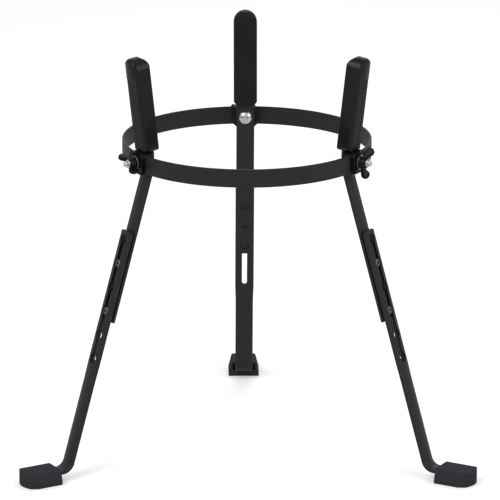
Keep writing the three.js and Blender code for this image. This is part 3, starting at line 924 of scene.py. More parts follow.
@dataclass
class SubAssembly:
    """What all sub-assemblies share: their finishes, and how a model becomes a piece."""

    finishes: FinishSet

    def fit(self, model: bpy.types.Object, node: str, place: Matrix, body: str,
            finish: Finish) -> bpy.types.Object:
        """Sets a copy of a model in the place of a node and dresses it.

        Args:
            model: The model in millimetres.
            node: The solid that it stands for.
            place: Its place in metres.
            body: The body that it rides on.
            finish: Its finish.

        Returns:
            The finished piece.
        """
        piece = Bench.copy(model, f"{node}_model", place)
        self.finishes.dress(piece, finish)
        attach(piece, body)
        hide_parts(node)
        LOG.info("%s: %d faces, finish %s", piece.name, len(piece.data.polygons), finish.name)
        return piece

    def fit_round(self, model: bpy.types.Object, kind: str, body: str, finish: Finish,
                  local: Callable[[Side], Matrix] = at_joint) -> None:
        """Sets one copy of a model on each leg, then throws the model away.

        Args:
            model: The model in millimetres.
            kind: Name of the node after the side.
            body: Body name, where {side} stands for the side.
            finish: The finish.
            local: Gives the model's place seen from the leg's joint.
        """
        for side in Side:
            self.fit(model, f"{side.label}_{kind}", joint_frame(side) @ local(side),
                     body.format(side=side.label), finish)
        Bench.discard(model)


# ---------------------------------------------------------------- ring

@dataclass
class RingBand(SubAssembly):
    """The rolled steel ring, drilled for the three bolts."""

    steps: int = 192
    edge_steps: int = 4

    def build(self) -> bpy.types.Object:
        """Spins the band's section round and drills it.

        Returns:
            The ring round its own middle.
        """
        half, edge, middle = RING.height / 2, RING.edge, RING.outer - RING.thickness / 2
        box = rounded_box(RING.thickness, -half, half, edge, edge, self.edge_steps)
        section = distinct([(middle + x, y) for x, y in box])
        ring = Bench.lathe(section + section[:1], self.steps)
        Bench.move(ring, rotation(90, "X"))
        for side in Side:
            drill = Bench.rod(BOLT_HOLE / 2, RING.inner - OVERRUN, RING.outer + OVERRUN)
            Bench.join(ring, Bench.move(drill, rotation(side.azimuth - 90, "Z")), Join.CUT)
        return Bench.shade(ring)

    def dress(self) -> None:
        """Builds the ring and sets it in place."""
        ring = self.build()
        self.fit(ring, "ring", ring_frame(), "frame", Finish.POWDER_COAT)
        Bench.discard(ring)


# ---------------------------------------------------------------- upper legs and pads

@dataclass
class UpperLeg(SubAssembly):
    """The bent upper bar with its bolt hole, nut recesses and guide pips."""

    recess: float = 12.4
    recess_depth: float = 3.0
    shank: float = 6.6
    pip: float = 6.4
    pip_height: float = 2.6
    dimple: float = 8.0
    dimple_depth: float = 2.0
    chamfer: float = 0.6
    edge: float = 0.4

    @staticmethod
    def bar(growth: float, peg_end: float) -> bpy.types.Object:
        """Sweeps the bar from the top of its peg to the end of the leg.

        Args:
            growth: How much larger it is on every side.
            peg_end: Length of the peg above the joint.

        Returns:
            The bar, seen from the joint.
        """
        top, bottom = Bend(BAR.bend, LEG.lean), Bend(BAR.bend, LEG.splay)
        section = [PEG_FRAME @ Vector((x, y, peg_end))
                   for x, y in distinct(BAR.section(BAR.width, growth))]
        runs = [Straight(peg_end - top.setback), top,
                Straight(LEG.above + LEG.below - top.setback - bottom.setback), bottom,
                Straight(LEG.upper - bottom.setback)]
        heading = PEG_FRAME.to_3x3() @ Vector((0, 0, -1))
        return Bench.sweep(section, PEG_FRAME @ Vector((0, 0, peg_end)), heading, runs)

    def build(self) -> bpy.types.Object:
        """Makes the bar and cuts its holes.

        Returns:
            The upper leg, seen from the joint.
        """
        leg = self.bar(0.0, LEG.peg)
        hole = Bench.prism(upright(square(BOLT_HOLE / 2), -OVERRUN),
                           (0, BAR.thickness + 2 * OVERRUN, 0))
        Bench.join(leg, hole, Join.CUT)
        recess, shank, far = self.recess / 2, self.shank / 2, BAR.thickness + OVERRUN
        for drop in SCREW_SEATS.values():
            drill = Bench.lathe([(0, -OVERRUN), (recess, -OVERRUN), (recess, self.recess_depth),
                                 (shank, self.recess_depth), (shank, far), (0, far)])
            Bench.join(leg, self.down(drill, drop), Join.CUT)
        for drop in PIP_SEATS:
            dimple = Bench.rod(self.dimple / 2, -OVERRUN, self.dimple_depth, self.chamfer)
            Bench.join(leg, self.down(dimple, drop), Join.CUT)
            top = BAR.thickness + self.pip_height
            pip = Bench.rod(self.pip / 2, BAR.edge, top, self.chamfer)
            Bench.join(leg, self.down(pip, drop), Join.ADD)
        return Bench.shade(Bench.soften(leg, self.edge))

    @staticmethod
    def down(tool: bpy.types.Object, drop: float) -> bpy.types.Object:
        """Moves a tool shape down the leg from the lower bend."""
        return Bench.move(tool, LEG_FRAME @ shift(0, 0, -drop))

    def dress(self) -> None:
        """Builds the upper leg once and fits it on all three sides."""
        self.fit_round(self.build(), "upper_leg", "frame", Finish.POWDER_COAT)


@dataclass(frozen=True)
class PadPlace:
    """Where a pad starts and ends on its peg."""

    start: float
    top: float


REAR_PAD = PadPlace(5.5, 137.0)
SIDE_PAD = PadPlace(3.4, 133.0)


@dataclass
class GripPad(SubAssembly):
    """The rubber sleeve on a peg: thick rounded cap, ribbed panel behind, hollow in front."""

    place: PadPlace = REAR_PAD
    wall: float = 6.3
    side_wall: float = 3.65
    swell: float = 17.8
    swell_radius: float = 34.0
    rim: float = 6.0
    edge: float = 1.2
    crown: float = 11.5
    chamfer: tuple[float, float] = (3.4, 4.5)
    cap: float = 31.0
    slope: float = 7.0
    slope_steps: int = 8
    slope_power: float = 1.3
    slope_reach: float = 0.6
    panel: float = 15.2
    panel_corner: float = 4.9
    cap_corner: float = 4.5
    rib_pitch: float = 5.6
    rib_depth: float = 0.75
    rib_steps: int = 8
    rib_power: float = 0.6
    ribbed: float = 2.5
    panel_steps: int = 23
    hollow: float = 12.0
    hollow_depth: float = 0.25

    @property
    def half(self) -> float:
        """Half the width across."""
        return BAR.width / 2 + self.side_wall

    @property
    def below(self) -> float:
        """A height under the pad, past the rounding of what is drawn beyond its lower end."""
        return self.place.start - 4 * self.rim

    def shell(self) -> bpy.types.Object:
        """Makes the outer form, round above and rimmed behind, drawn past its lower end."""
        half, corner, front, top = self.half, self.cap_corner, -self.wall, self.place.top
        low = self.below + self.rim
        outline = [(-half, low), (half, low)] + arc(0, top - half, half, 0, 180, 28)
        form = Bench.prism(upright(outline, front - OVERRUN),
                           (0, self.swell - front + OVERRUN, 0), self.rim)
        middle = self.swell - self.swell_radius
        tilt = math.asin((half - corner) / (self.swell_radius - corner))
        drop = middle + (self.swell_radius - corner) * math.cos(tilt)
        turn, wide = math.degrees(tilt), half + OVERRUN
        near = arc(half - corner + CLEAR, drop, corner, 0, 90 - turn, 6)
        over = arc(0, middle, self.swell_radius, 90 - turn, 90 + turn, 20)
        far = [(-x, y) for x, y in reversed(near)]
        side = front + self.edge
        edge = arc(half - self.edge + CLEAR, side, self.edge, -90, 0, 5)
        plan = [(-wide, side)] + [(-x, y) for x, y in reversed(edge)] + edge
        plan += [(wide, side), (wide, drop)] + near + over + far + [(-wide, drop)]
        tool = Bench.prism(level(plan, low - OVERRUN), (0, 0, top - low + 2 * OVERRUN))
        return Bench.join(form, tool, Join.COMMON)

    def side_tool(self) -> bpy.types.Object:
        """Makes the tool that rounds the cap over to the front."""
        front, back, top = -self.wall, self.swell + OVERRUN, self.place.top
        radius, wide, high = self.crown, BAR.width, top + OVERRUN
        side = ([(front - OVERRUN, self.below), (back, self.below), (back, high),
                 (front + radius, high)]
                + arc(front + radius, top - radius, radius, 90, 180, 16)
                + [(front - OVERRUN, top - radius)])
        return Bench.prism(sideways(side, -wide), (2 * wide, 0, 0))

    def front_tool(self) -> bpy.types.Object:
        """Makes the tool that ends the pad below and takes off its lower corners."""
        half, (across, up), high = self.half, self.chamfer, self.place.top + OVERRUN
        start, shoulder = self.place.start, self.place.start + 2 * up
        outline = [(-half + across, start), (half - across, start),
                   (half + across, shoulder), (half + across, high),
                   (-half - across, high), (-half - across, shoulder)]
        return Bench.prism(upright(outline, -self.wall - OVERRUN),
                           (0, self.swell + self.wall + 2 * OVERRUN, 0))

    def panel_height(self, x: float) -> float:
        """Gives how high the ribbed panel stands at a place across it."""
        beyond = max(abs(x) - self.half + self.panel_corner, 0.0)
        corner = self.panel_corner - math.sqrt(max(self.panel_corner ** 2 - beyond ** 2, 0.0))
        share = abs(x) / self.rib_pitch
        lift = 1.0
        if share < self.ribbed:
            lift = math.sin(math.pi * (share % 1.0)) ** self.rib_power
        return self.panel - max(corner, self.rib_depth * (1 - lift))

    def rib_tool(self) -> bpy.types.Object:
        """Makes the shape that cuts the ribbed panel and the slope from it out to the cap.

        Returns:
            The cutting shape, seen from the peg.
        """
        wide, far = self.half + OVERRUN, self.swell + 2 * OVERRUN
        side = self.panel - self.panel_corner
        across = [self.rib_pitch / self.rib_steps * step
                  for step in range(-self.panel_steps, self.panel_steps + 1)]
        line = ([(wide, far), (-wide, far), (-wide, side)]
                + [(x, self.panel_height(x)) for x in across] + [(wide, side)])
        tool = Bench.draw(level(line, self.below))
        tall = self.place.top - self.cap - self.below
        bpy.ops.mesh.extrude_region_move(TRANSFORM_OT_translate={"value": (0, 0, tall)})
        rise, steps = self.swell - self.panel + self.rib_depth + self.slope_reach, self.slope_steps
        heights = [rise * (step / steps) ** self.slope_power for step in range(steps + 1)]
        for here, there in zip(heights, heights[1:]):
            bpy.ops.mesh.extrude_region_move(
                TRANSFORM_OT_translate={"value": (0, there - here, self.slope / steps)})
        return Bench.close(tool)

    def hollow_tool(self) -> bpy.types.Object:
        """Makes the long shallow lens that hollows the front face."""
        reach, depth = self.hollow / 2, self.hollow_depth
        radius = (reach ** 2 + depth ** 2) / (2 * depth)
        angle = math.degrees(math.asin(reach / radius))
        lens = ([(-reach, -self.wall - OVERRUN), (reach, -self.wall - OVERRUN)]
                + arc(0, depth - self.wall - radius, radius, 90 - angle, 90 + angle, 12))
        tall = self.place.top - self.place.start + 2 * OVERRUN
        return Bench.prism(level(lens, self.place.start - OVERRUN), (0, 0, tall))

    def build(self) -> bpy.types.Object:
        """Makes the sleeve with its panel, hollow and socket.

        Returns:
            The pad, seen from the joint.
        """
        pad = self.shell()
        Bench.join(pad, self.side_tool(), Join.COMMON)
        Bench.join(pad, self.front_tool(), Join.COMMON)
        Bench.join(pad, self.rib_tool(), Join.CUT)
        Bench.join(pad, self.hollow_tool(), Join.CUT)
        socket = UpperLeg.bar(GAP, LEG.peg + GAP)
        Bench.join(pad, Bench.move(socket, PEG_FRAME.inverted()), Join.CUT)
        Bench.shade(pad, 40)
        return Bench.move(pad, PEG_FRAME)

    def dress(self) -> None:
        """Builds a pad for each peg, pushed down it as far as the photographed one."""
        for side in Side:
            self.place = REAR_PAD if side is Side.REAR else SIDE_PAD
            pad = self.build()
            self.fit(pad, f"{side.label}_pad", joint_frame(side), "frame", Finish.PAD_RUBBER)
            Bench.discard(pad)


# ---------------------------------------------------------------- clamps and bolts

@dataclass
class RingClamp(SubAssembly):
    """The moulded block and plate, and the bolt and washer that pull them together."""

    width: float = 33.6
    height: float = 28.8
    chamfer: float = 4.6
    edge: float = 0.55
    shoulder: float = 2.4
    lip: float = 1.95
    saddled: float = 60.0
    head: float = 17.6
    head_height: float = 3.9
    neck: float = 5.0
    neck_sunk: float = 0.2
    proud: float = 4.3
    point: float = 0.7
    thread: float = 12.0
    thread_pitch: float = 1.25
    thread_turns: int = 9
    groove: tuple[Point, ...] = ((0.55, 0.45), (0.55, 0.60), (0.0, 1.05), (0.0, 1.25))
    washer_edge: float = 0.3

    def octagon(self) -> list[Point]:
        """Gives the outline that block and plate share."""
        x, z, cut = self.width / 2, self.height / 2, self.chamfer
        return [(-x, -z + cut), (-x + cut, -z), (x - cut, -z), (x, -z + cut),
                (x, z - cut), (x - cut, z), (-x + cut, z), (-x, z - cut)]

    def channel(self) -> bpy.types.Object:
        """Makes the shape of the space round the band."""
        half = RING.height / 2 + GAP
        inner, outer = RING.inner - GAP, RING.outer + GAP
        loop = [(inner, -half), (outer, -half), (outer, half), (inner, half), (inner, -half)]
        tool = Bench.lathe(loop, 144)
        return Bench.move(tool, shift(0, -BAR_FACE, 0) @ rotation(90, "X"))

    def moulding(self, start: float, end: float) -> bpy.types.Object:
        """Makes an octagonal moulding with a channel for the band.

        Args:
            start: Where it starts, outwards from the joint.
            end: Where it ends.

        Returns:
            The moulding.
        """
        body = Bench.prism(upright(self.octagon(), start), (0, end - start, 0))
        return Bench.join(body, self.channel(), Join.CUT)

    def finished(self, body: bpy.types.Object) -> bpy.types.Object:
        """Drills a moulding for the bolt and rounds its edges."""
        Bench.join(body, Bench.rod(BOLT_HOLE / 2, 0, BAR_FACE), Join.CUT)
        return Bench.shade(Bench.soften(body, self.edge, 3, 30))

    def block(self) -> bpy.types.Object:
        """Makes the block that saddles the bar and hooks over the band."""
        body = self.moulding(LOWER_FACE - self.shoulder, BLOCK_OUTER + self.lip - BAR_FACE)
        Bench.join(body, UpperLeg.bar(GAP, self.saddled), Join.CUT)
        return self.finished(body)

    def outer_plate(self) -> bpy.types.Object:
        """Makes the plate outside the band, with lips that meet the block's."""
        start = BLOCK_OUTER + self.lip + GAP - BAR_FACE
        return self.finished(self.moulding(start, CLAMP.plate_outer))

    def carriage_bolt(self) -> bpy.types.Object:
        """Makes the bolt: domed head, square neck, shank and a threaded end."""
        shank, head, under = CLAMP.bolt / 2, self.head / 2, -GAP
        end = CLAMP.nut_base + CLAMP.hub_height + CLAMP.insert_proud + self.proud
        dome = (head ** 2 + self.head_height ** 2) / (2 * self.head_height)
        angle = math.degrees(math.asin(head / dome))
        profile: list[Point] = arc(0, under - self.head_height + dome, dome, 270, 270 + angle, 14)
        profile[0] = (0, under - self.head_height)
        profile += [(head, under), (shank, under), (shank, end - self.thread)]
        for turn in range(self.thread_turns):
            base = end - self.thread + self.thread_pitch * turn
            profile += [(shank - depth, base + along) for depth, along in self.groove]
        profile += [(shank, end - self.point), (shank - self.point, end), (0, end)]
        bolt = Bench.lathe(distinct(profile), 40)
        start = under - self.neck_sunk
        neck = Bench.prism(upright(square(shank), start), (0, self.neck - start, 0))
        return Bench.shade(Bench.join(bolt, neck, Join.ADD), 30)

    def washer_ring(self) -> bpy.types.Object:
        """Makes the washer with its rounded rims."""
        start = CLAMP.plate_outer + GAP
        high = start + CLAMP.washer_thickness
        inner, outer, edge = BOLT_HOLE / 2, CLAMP.washer / 2, self.washer_edge
        loop = (arc(outer - edge, start + edge, edge, 270, 360, 3)
                + arc(outer - edge, high - edge, edge, 0, 90, 3)
                + [(inner, high), (inner, start)])
        return Bench.shade(Bench.lathe(loop + loop[:1], 56), 30)

    def dress(self) -> None:
        """Builds each clamp piece once and fits it on all three sides."""
        self.fit_round(self.block(), "clamp_block", "frame", Finish.MOULDING)
        self.fit_round(self.outer_plate(), "clamp_plate", "frame", Finish.MOULDING)
        self.fit_round(self.carriage_bolt(), "carriage_bolt", "frame", Finish.NICKEL)
        self.fit_round(self.washer_ring(), "washer", "frame", Finish.BRIGHT_ZINC)


# ---------------------------------------------------------------- wing nuts

@dataclass
class WingNut(SubAssembly):
    """The moulded wing and its threaded metal insert."""

    flange: float = 17.0
    flange_height: float = 1.6
    hub: float = 15.4
    hub_taper: float = 0.3
    hub_chamfer: Point = (1.4, 1.2)
    bore: float = CLAMP.bolt / 2 + THREAD_GAP
    insert_wall: float = 1.5
    insert_chamfer: float = 0.4
    insert_gap: float = 0.15
    tip_radius: float = 6.1
    tip_reach: float = 15.4
    tip_rise: float = 9.6
    foot_rise: float = 1.0
    thickness: float = 5.5
    softness: float = 0.32
    voxel: float = 0.34
    relax: int = 5

    def ear(self, mirror: float) -> bpy.types.Object:
        """Makes one ear: a web that rises from the hub to a round tip.

        Args:
            mirror: 1 for one side, -1 for the other.

        Returns:
            The ear.
        """
        hub, high, depth = self.hub / 2, CLAMP.hub_height - self.foot_rise, self.thickness
        outline = ([(0, self.foot_rise), (hub, self.foot_rise)]
                   + arc(self.tip_reach, self.tip_rise, self.tip_radius, -60, 130, 18)
                   + [(hub, high), (0, high)])
        points = [(mirror * x, CLAMP.nut_base + y) for x, y in outline]
        ear = Bench.prism(level(points, -depth / 2), (0, 0, depth))
        return Bench.soften(ear, depth * self.softness, 5, 50)

    def wing(self) -> bpy.types.Object:
        """Makes the flanged hub with its two ears and its bore.

        Returns:
            The wing, seen from the joint.
        """
        flange, hub, (inwards, down) = self.flange / 2, self.hub / 2, self.hub_chamfer
        low, high = CLAMP.nut_base, CLAMP.nut_base + CLAMP.hub_height
        body = Bench.lathe([(0, low), (flange, low), (flange, low + self.flange_height),
                            (hub, low + 2 * self.flange_height),
                            (hub - self.hub_taper, high - down), (hub - inwards, high),
                            (0, high)], 56)
        for mirror in (1, -1):
            Bench.join(body, self.ear(mirror), Join.ADD)
        radius = self.bore + self.insert_wall + self.insert_gap
        drill = Bench.rod(radius, low - OVERRUN, high + self.tip_rise)
        Bench.join(body, drill, Join.CUT)
        return Bench.mould(body, self.voxel, self.relax)

    def insert(self) -> bpy.types.Object:
        """Makes the metal insert with its chamfered mouth."""
        low, high = CLAMP.nut_base, CLAMP.nut_base + CLAMP.hub_height + CLAMP.insert_proud
        outer, cut = self.bore + self.insert_wall, self.insert_chamfer
        loop = [(self.bore, low), (outer, low), (outer, high - cut), (outer - cut, high),
                (self.bore + cut, high), (self.bore, high - cut)]
        return Bench.shade(Bench.lathe(loop + loop[:1]), 30)

    def dress(self) -> None:
        """Builds wing and insert once and turns a copy on each bolt."""
        turned: Callable[[Side], Matrix] = lambda side: rotation(side.wing_turn, "Y")
        self.fit_round(self.wing(), "wing_nut", "{side}_wing", Finish.MOULDING, turned)
        self.fit_round(self.insert(), "wing_nut_insert", "{side}_wing", Finish.NICKEL, turned)


# ---------------------------------------------------------------- lower legs

@dataclass
class LowerLeg(SubAssembly):
    """The slotted lower bar with six round screw seats, bent outwards at the floor."""

    slot_zone: float = 26.4
    taper: float = 20.0
    top_corner: float = 4.0
    toe_bend: float = 18.0
    slot: float = 7.1
    seat: float = 13.6
    seat_floor: float = 3.4
    seat_relief: float = 0.4
    seat_chamfer: float = 0.6
    edge: float = 0.38

    def build(self) -> bpy.types.Object:
        """Sweeps the bar, rounds its top and cuts the slot and seats.

        Returns:
            The lower leg, seen from the joint.
        """
        bend = Bend(self.toe_bend, 90 - LEG.splay, 16)
        slot_end = SEATS[-1] + self.seat / 2 + OVERRUN - LEG.lower_top
        start = LEG_FRAME @ Vector((0, LOWER_FACE, -LEG.lower_top))
        section = [LEG_FRAME @ Vector((x, LOWER_FACE + y, -LEG.lower_top))
                   for x, y in distinct(BAR.section(self.slot_zone))]
        heading = LEG_FRAME.to_3x3() @ Vector((0, 0, -1))
        leg = Bench.sweep(section, start, heading, [
            Straight(slot_end), Straight(self.taper, BAR.width / self.slot_zone),
            Straight(LEG.lower - slot_end - self.taper - bend.setback), bend,
            Straight(LEG.toe - bend.setback)])
        self.round_top(leg)
        Bench.join(leg, self.slot_cutter(), Join.CUT)
        floor = LOWER_FACE + self.seat_floor - self.seat_relief
        radius, cut, high = self.seat / 2, self.seat_chamfer, floor + 2 * BAR.thickness
        for drop in SEATS:
            seat = Bench.lathe([(0, floor), (radius - cut, floor), (radius, floor + cut),
                                (radius, high), (0, high)], 56)
            Bench.join(leg, UpperLeg.down(seat, drop), Join.CUT)
        return Bench.shade(Bench.soften(leg, self.edge, 3, 34))

    def round_top(self, leg: bpy.types.Object) -> None:
        """Rounds the two top corners of the bar.

        Args:
            leg: The swept bar.
        """
        half, corner, top = self.slot_zone / 2, self.top_corner, -LEG.lower_top
        wide, high = half + OVERRUN, top + OVERRUN
        outline = ([(wide, high), (half - corner, high)]
                   + arc(half - corner, top - corner, corner, 90, 0, 10)
                   + [(wide, top - corner)])
        for mirror in (1, -1):
            points = upright([(mirror * x, z) for x, z in outline], 0.0)
            tool = Bench.prism(points, (0, LOWER_FACE + BAR.thickness + OVERRUN, 0))
            Bench.join(leg, Bench.move(tool, LEG_FRAME), Join.CUT)

    def slot_cutter(self) -> bpy.types.Object:
        """Makes the long round-ended cutter of the slot.

        Returns:
            The cutter in its place.
        """
        half = self.slot / 2
        radius = half - CLEAR / 10
        outline = rounded_box(self.slot, -SEATS[-1] - half, -SEATS[0] + half, radius, radius, 10)
        tool = Bench.prism(upright(outline, LOWER_FACE - OVERRUN),
                           (0, BAR.thickness + 2 * OVERRUN, 0))
        return Bench.move(tool, LEG_FRAME)

    def dress(self) -> None:
        """Builds the lower leg once and fits it on all three sides."""
        self.fit_round(self.build(), "lower_leg", "{side}_extension", Finish.POWDER_COAT)


# ---------------------------------------------------------------- clamp screws

@dataclass
class ClampScrews(SubAssembly):
    """The button-head screws through the slot and their sunk hexagon nuts."""

    shank: float = 6.0
    head: float = 11.5
    head_height: float = 2.2
    head_corner: float = 0.9
    head_edge: float = 0.25
    rim: float = 0.7
    socket: float = 4.0
    socket_depth: float = 1.3
    socket_land: float = 0.55
    edge: float = 0.12
    nut: float = 10.0
    nut_thickness: float = 2.4
    nut_flange: float = 11.7
    nut_cover: float = 1.3
    nut_sunk: float = 0.5
    nut_edges: Point = (0.3, 0.2)
    end_gap: float = 0.4

    @staticmethod
    def hexagon(across: float) -> list[Point]:
        """Gives a hexagon across its flats."""
        return arc(0, 0, across / 2 / math.cos(math.radians(30)), 0, 300, 5)

    def screw(self) -> bpy.types.Object:
        """Makes the screw: rounded head, hexagon socket and shank."""
        under = LOWER_FACE + LowerLeg.seat_floor + GAP
        top, head, shank = under + self.head_height, self.head / 2, self.shank / 2
        socket = self.hexagon(self.socket)
        mouth = socket[0][0] + self.socket_land
        crown = curve((head, under + self.rim), (head - self.head_corner, top), (mouth, top), 8)
        end = GAP + self.nut_cover + self.end_gap
        body = Bench.lathe([(0, end), (shank, end), (shank, under), (head - self.head_edge, under),
                            (head, under + self.head_edge)] + crown + [(0, top)], 56)
        tool = Bench.prism(upright(socket, top - self.socket_depth),
                           (0, self.socket_depth + OVERRUN, 0))
        Bench.join(body, tool, Join.CUT)
        return Bench.shade(Bench.soften(body, self.edge, 2, 50), 30)

    def hexagon_nut(self) -> bpy.types.Object:
        """Makes the closed nut: a hexagon under a round painted flange, sunk in the bar."""
        low, high, (seen, hidden) = GAP + self.nut_sunk, GAP + self.nut_thickness, self.nut_edges
        nut = Bench.prism(upright(self.hexagon(self.nut), low + seen), (0, high - low - seen, 0))
        rim, cover = self.nut_flange / 2, GAP + self.nut_cover
        flange = Bench.lathe([(0, low), (rim - seen, low), (rim, low + seen),
                              (rim, cover - hidden), (rim - hidden, cover), (0, cover)], 56)
        Bench.join(nut, flange, Join.ADD)
        bore = Bench.rod(self.shank / 2 + THREAD_GAP, cover, high + OVERRUN)
        return Bench.shade(Bench.join(nut, bore, Join.CUT), 30)

    def dress(self) -> None:
        """Builds screw and nut once and fits them at both places on all three legs."""
        screw, nut = self.screw(), self.hexagon_nut()
        for side in Side:
            for name, drop in SCREW_SEATS.items():
                place = joint_frame(side) @ LEG_FRAME @ shift(0, 0, -drop)
                node = f"{side.label}_{name}"
                self.fit(screw, f"{node}_clamp_screw", place, "frame", Finish.BLACK_ZINC)
                self.fit(nut, f"{node}_clamp_nut", place, "frame", Finish.PAINTED_NUT)
        Bench.discard(screw)
        Bench.discard(nut)


# ---------------------------------------------------------------- feet

@dataclass
class RubberFoot(SubAssembly):
    """The arched, round-nosed rubber shoe with its open mouth."""

    height: float = 20.5
    clearance: float = 10.5
    width: float = 44.0
    top_width: float = 33.0
    side_rise: float = 5.0
    top_radius: float = 4.0
    start: float = 19.7
    length: float = 50.6
    bulge: float = 9.0
    tip_corner: float = 5.0
    tip_slope: float = 7.0
    mouth_width: float = 32.0
    mouth_height: float = 11.5
    mouth_depth: float = 9.0
    mouth_corner: float = 3.0
    voxel: float = 0.6
    relax: int = 5

    def build(self) -> bpy.types.Object:
        """Makes the shoe from its arch, plan and side, then moulds it soft.

        Returns:
            The foot, seen from the corner of the toe.
        """
        base, top = -self.clearance, -self.clearance + self.height
        half, half_top = self.width / 2, self.top_width / 2
        end = self.start + self.length
        radius = self.top_radius
        arch = ([(-half, base), (half, base), (half, base + self.side_rise)]
                + arc(half_top - radius / 2, top - radius, radius, 30, 90, 6)
                + arc(-half_top + radius / 2, top - radius, radius, 90, 150, 6)
                + [(-half, base + self.side_rise)])
        foot = Bench.prism(upright(arch, self.start), (0, self.length, 0))
        Bench.join(foot, self.plan(half, base, end), Join.COMMON)
        Bench.join(foot, self.profile(half, base, top, end), Join.COMMON)
        middle = BAR.thickness / 2
        mouth = rounded_box(self.mouth_width, middle - self.mouth_height / 2,
                            middle + self.mouth_height / 2, self.mouth_corner, self.mouth_corner)
        outside = self.start - OVERRUN
        tool = Bench.prism(upright(mouth, outside), (0, self.mouth_depth + OVERRUN, 0))
        Bench.join(foot, tool, Join.CUT)
        Bench.mould(foot, self.voxel, self.relax)
        socket = Bench.prism(upright(BAR.section(BAR.width, GAP), outside),
                             (0, LEG.toe + GAP - outside, 0))
        Bench.join(foot, socket, Join.CUT)
        Bench.take(foot)
        bpy.ops.object.shade_smooth_by_angle(angle=math.radians(50))
        return foot

    def plan(self, half: float, base: float, end: float) -> bpy.types.Object:
        """Makes the tool that rounds the nose seen from above.

        Args:
            half: Half the width.
            base: Height of the sole.
            end: Tip of the nose.

        Returns:
            The tool.
        """
        nose = (half ** 2 + self.bulge ** 2) / (2 * self.bulge)
        angle = math.degrees(math.asin((half - self.tip_corner) / nose))
        back = end - self.bulge - self.tip_corner
        wide = half + OVERRUN
        outline = ([(-wide, self.start - OVERRUN), (wide, self.start - OVERRUN), (wide, back),
                    (half, back)] + arc(0, end - nose, nose, 90 - angle, 90 + angle, 16)
                   + [(-half, back), (-wide, back)])
        return Bench.prism(level(outline, base - OVERRUN), (0, 0, self.height + 2 * OVERRUN))

    def profile(self, half: float, base: float, top: float, end: float) -> bpy.types.Object:
        """Makes the tool that slopes the nose seen from the side.

        Args:
            half: Half the width.
            base: Height of the sole.
            top: Height of the top.
            end: Tip of the nose.

        Returns:
            The tool.
        """
        slope = self.tip_slope
        side = ([(self.start - OVERRUN, base - OVERRUN), (end + OVERRUN, base - OVERRUN),
                 (end + OVERRUN, base + self.side_rise), (end, base + self.side_rise)]
                + arc(end - slope, top - slope, slope, 20, 90, 8) + [(self.start - OVERRUN, top)])
        return Bench.prism(sideways(side, -half - OVERRUN), (self.width + 2 * OVERRUN, 0, 0))

    def dress(self) -> None:
        """Builds the foot once and fits it on all three toes."""
        corner = LEG_FRAME @ Vector((0, LOWER_FACE, -LEG.lower_top - LEG.lower))
        at_toe: Callable[[Side], Matrix] = lambda side: Matrix.Translation(corner)
        self.fit_round(self.build(), "foot", "{side}_extension", Finish.FOOT_RUBBER, at_toe)


# ---------------------------------------------------------------- studio and camera

WHITE = (1, 1, 1, 1)


@dataclass(frozen=True)
class Lamp:
    """A soft square lamp that faces the stand, in metres and watts."""

    name: str
    place: Point
    size: float
    power: float

    def hang(self, aim: Point) -> None:
        """Hangs the lamp and turns it to what it lights."""
        Bench.clear()
        bpy.ops.object.light_add(type="AREA", location=self.place)
        lamp = bpy.context.object
        lamp.name = self.name
        lamp.data.size = self.size
        lamp.data.energy = self.power
        heading = Vector(aim) - Vector(self.place)
        lamp.rotation_euler = heading.to_track_quat("-Z", "Y").to_euler()


@dataclass
class Studio:
    """The pale floor, the soft lamps and the white surround, in metres."""

    floor_size: float = 30.0
    floor_drop: float = 0.0001
    surround: float = 0.55
    lift: float = 0.30
    aim: Point = (0, 0, 0.3)
    lamps: tuple[Lamp, ...] = (Lamp("key_lamp", (-1.6, -1.8, 2.6), 1.6, 40.0),
                               Lamp("fill_lamp", (2.2, -1.4, 1.6), 1.8, 22.0),
                               Lamp("rim_lamp", (0.4, 2.2, 2.2), 1.6, 20.0))

    def floor(self) -> None:
        """Lays the floor, which keeps the stand's shadow."""
        Bench.clear()
        bpy.ops.mesh.primitive_plane_add(size=self.floor_size, location=(0, 0, -self.floor_drop))
        floor = bpy.context.object
        floor.name = "studio_floor"
        shader = Shader(bpy.data.materials.new("studio_floor"))
        tint = shader.mix(shader.noise(3, 2), (0.80, 0.80, 0.80), (0.83, 0.83, 0.83))
        plain = shader.node("ShaderNodeBsdfDiffuse", None, {"Color": tint})
        glow = shader.node("ShaderNodeEmission", None, {"Color": WHITE, 1: self.lift})
        both = shader.node("ShaderNodeAddShader", None, {0: plain, 1: glow})
        mixed = shader.node("ShaderNodeMixShader", None, {0: shader.seen(), 1: plain, 2: both})
        floor.data.materials.append(shader.show(mixed))

    def world(self) -> None:
        """Surrounds the stand with plain light, white where it is seen."""
        shader = Shader(bpy.data.worlds.new("studio"), "ShaderNodeOutputWorld")
        lit, white = [shader.node("ShaderNodeBackground", None, {0: WHITE, 1: strength})
                      for strength in (self.surround, 1.0)]
        mixed = shader.node("ShaderNodeMixShader", None, {0: shader.seen(), 1: lit, 2: white})
        bpy.context.scene.world = shader.show(mixed)

    def build(self) -> None:
        """Sets the whole studio up."""
        self.floor()
        self.world()
        for lamp in self.lamps:
            lamp.hang(self.aim)


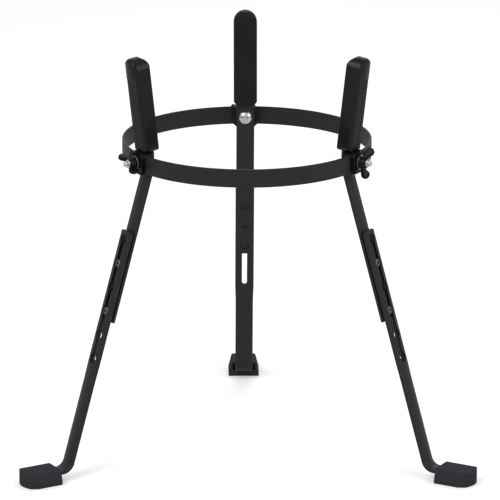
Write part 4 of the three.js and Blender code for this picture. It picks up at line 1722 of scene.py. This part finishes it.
@dataclass
class PhotoCamera:
    """The camera at the photograph's place: metres, degrees and a lens in millimetres."""

    distance: float = 5.755
    elevation: float = 14.93
    tilt: float = 16.34
    yaw: float = 0.045
    roll: float = 0.069
    swing: float = 0.82
    lens: float = 304.8
    sensor: float = 36.0
    sight: Point = (0.1, 100.0)

    def build(self) -> None:
        """Makes the camera and hands it to the scene."""
        low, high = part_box("ring")
        middle = (low + high) / 2
        swing = rotation(-self.swing, "Z").to_3x3()
        high_angle = math.radians(self.elevation)
        reach = Vector((0, -math.cos(high_angle), math.sin(high_angle))) * self.distance
        yaw, tilt = math.radians(self.yaw), math.radians(self.tilt)
        ahead = Vector((math.sin(yaw) * math.cos(tilt), math.cos(yaw) * math.cos(tilt),
                        -math.sin(tilt)))
        right = Vector((math.cos(yaw), -math.sin(yaw), 0))
        up = right.cross(ahead)
        turn = Matrix((right, up, -ahead)).transposed()
        turn = swing @ turn @ rotation(self.roll, "Z").to_3x3()
        data = bpy.data.cameras.new("photo_camera")
        data.lens, data.sensor_width = self.lens, self.sensor
        data.clip_start, data.clip_end = self.sight
        camera = bpy.data.objects.new("photo_camera", data)
        bpy.context.scene.collection.objects.link(camera)
        camera.matrix_world = Matrix.Translation(middle + swing @ reach) @ turn.to_4x4()
        bpy.context.scene.camera = camera


# ---------------------------------------------------------------- the stand

@dataclass
class CongaStand:
    """All sub-assemblies in the order in which they are built."""

    finishes: FinishSet = field(default_factory=FinishSet)

    def build(self) -> None:
        """Builds and dresses every sub-assembly."""
        kinds = (RingBand, UpperLeg, GripPad, RingClamp, WingNut, LowerLeg, ClampScrews,
                 RubberFoot)
        for kind in kinds:
            kind(self.finishes).dress()
            LOG.info("%s done", kind.__name__)


def main() -> None:
    """Builds the stand, its studio and its camera."""
    logging.basicConfig(level=logging.INFO, format="%(message)s")
    bpy.context.scene.view_settings.view_transform = "Standard"
    CongaStand().build()
    Studio().build()
    PhotoCamera().build()
    Bench.clear()


if __name__ == "__main__":
    main()
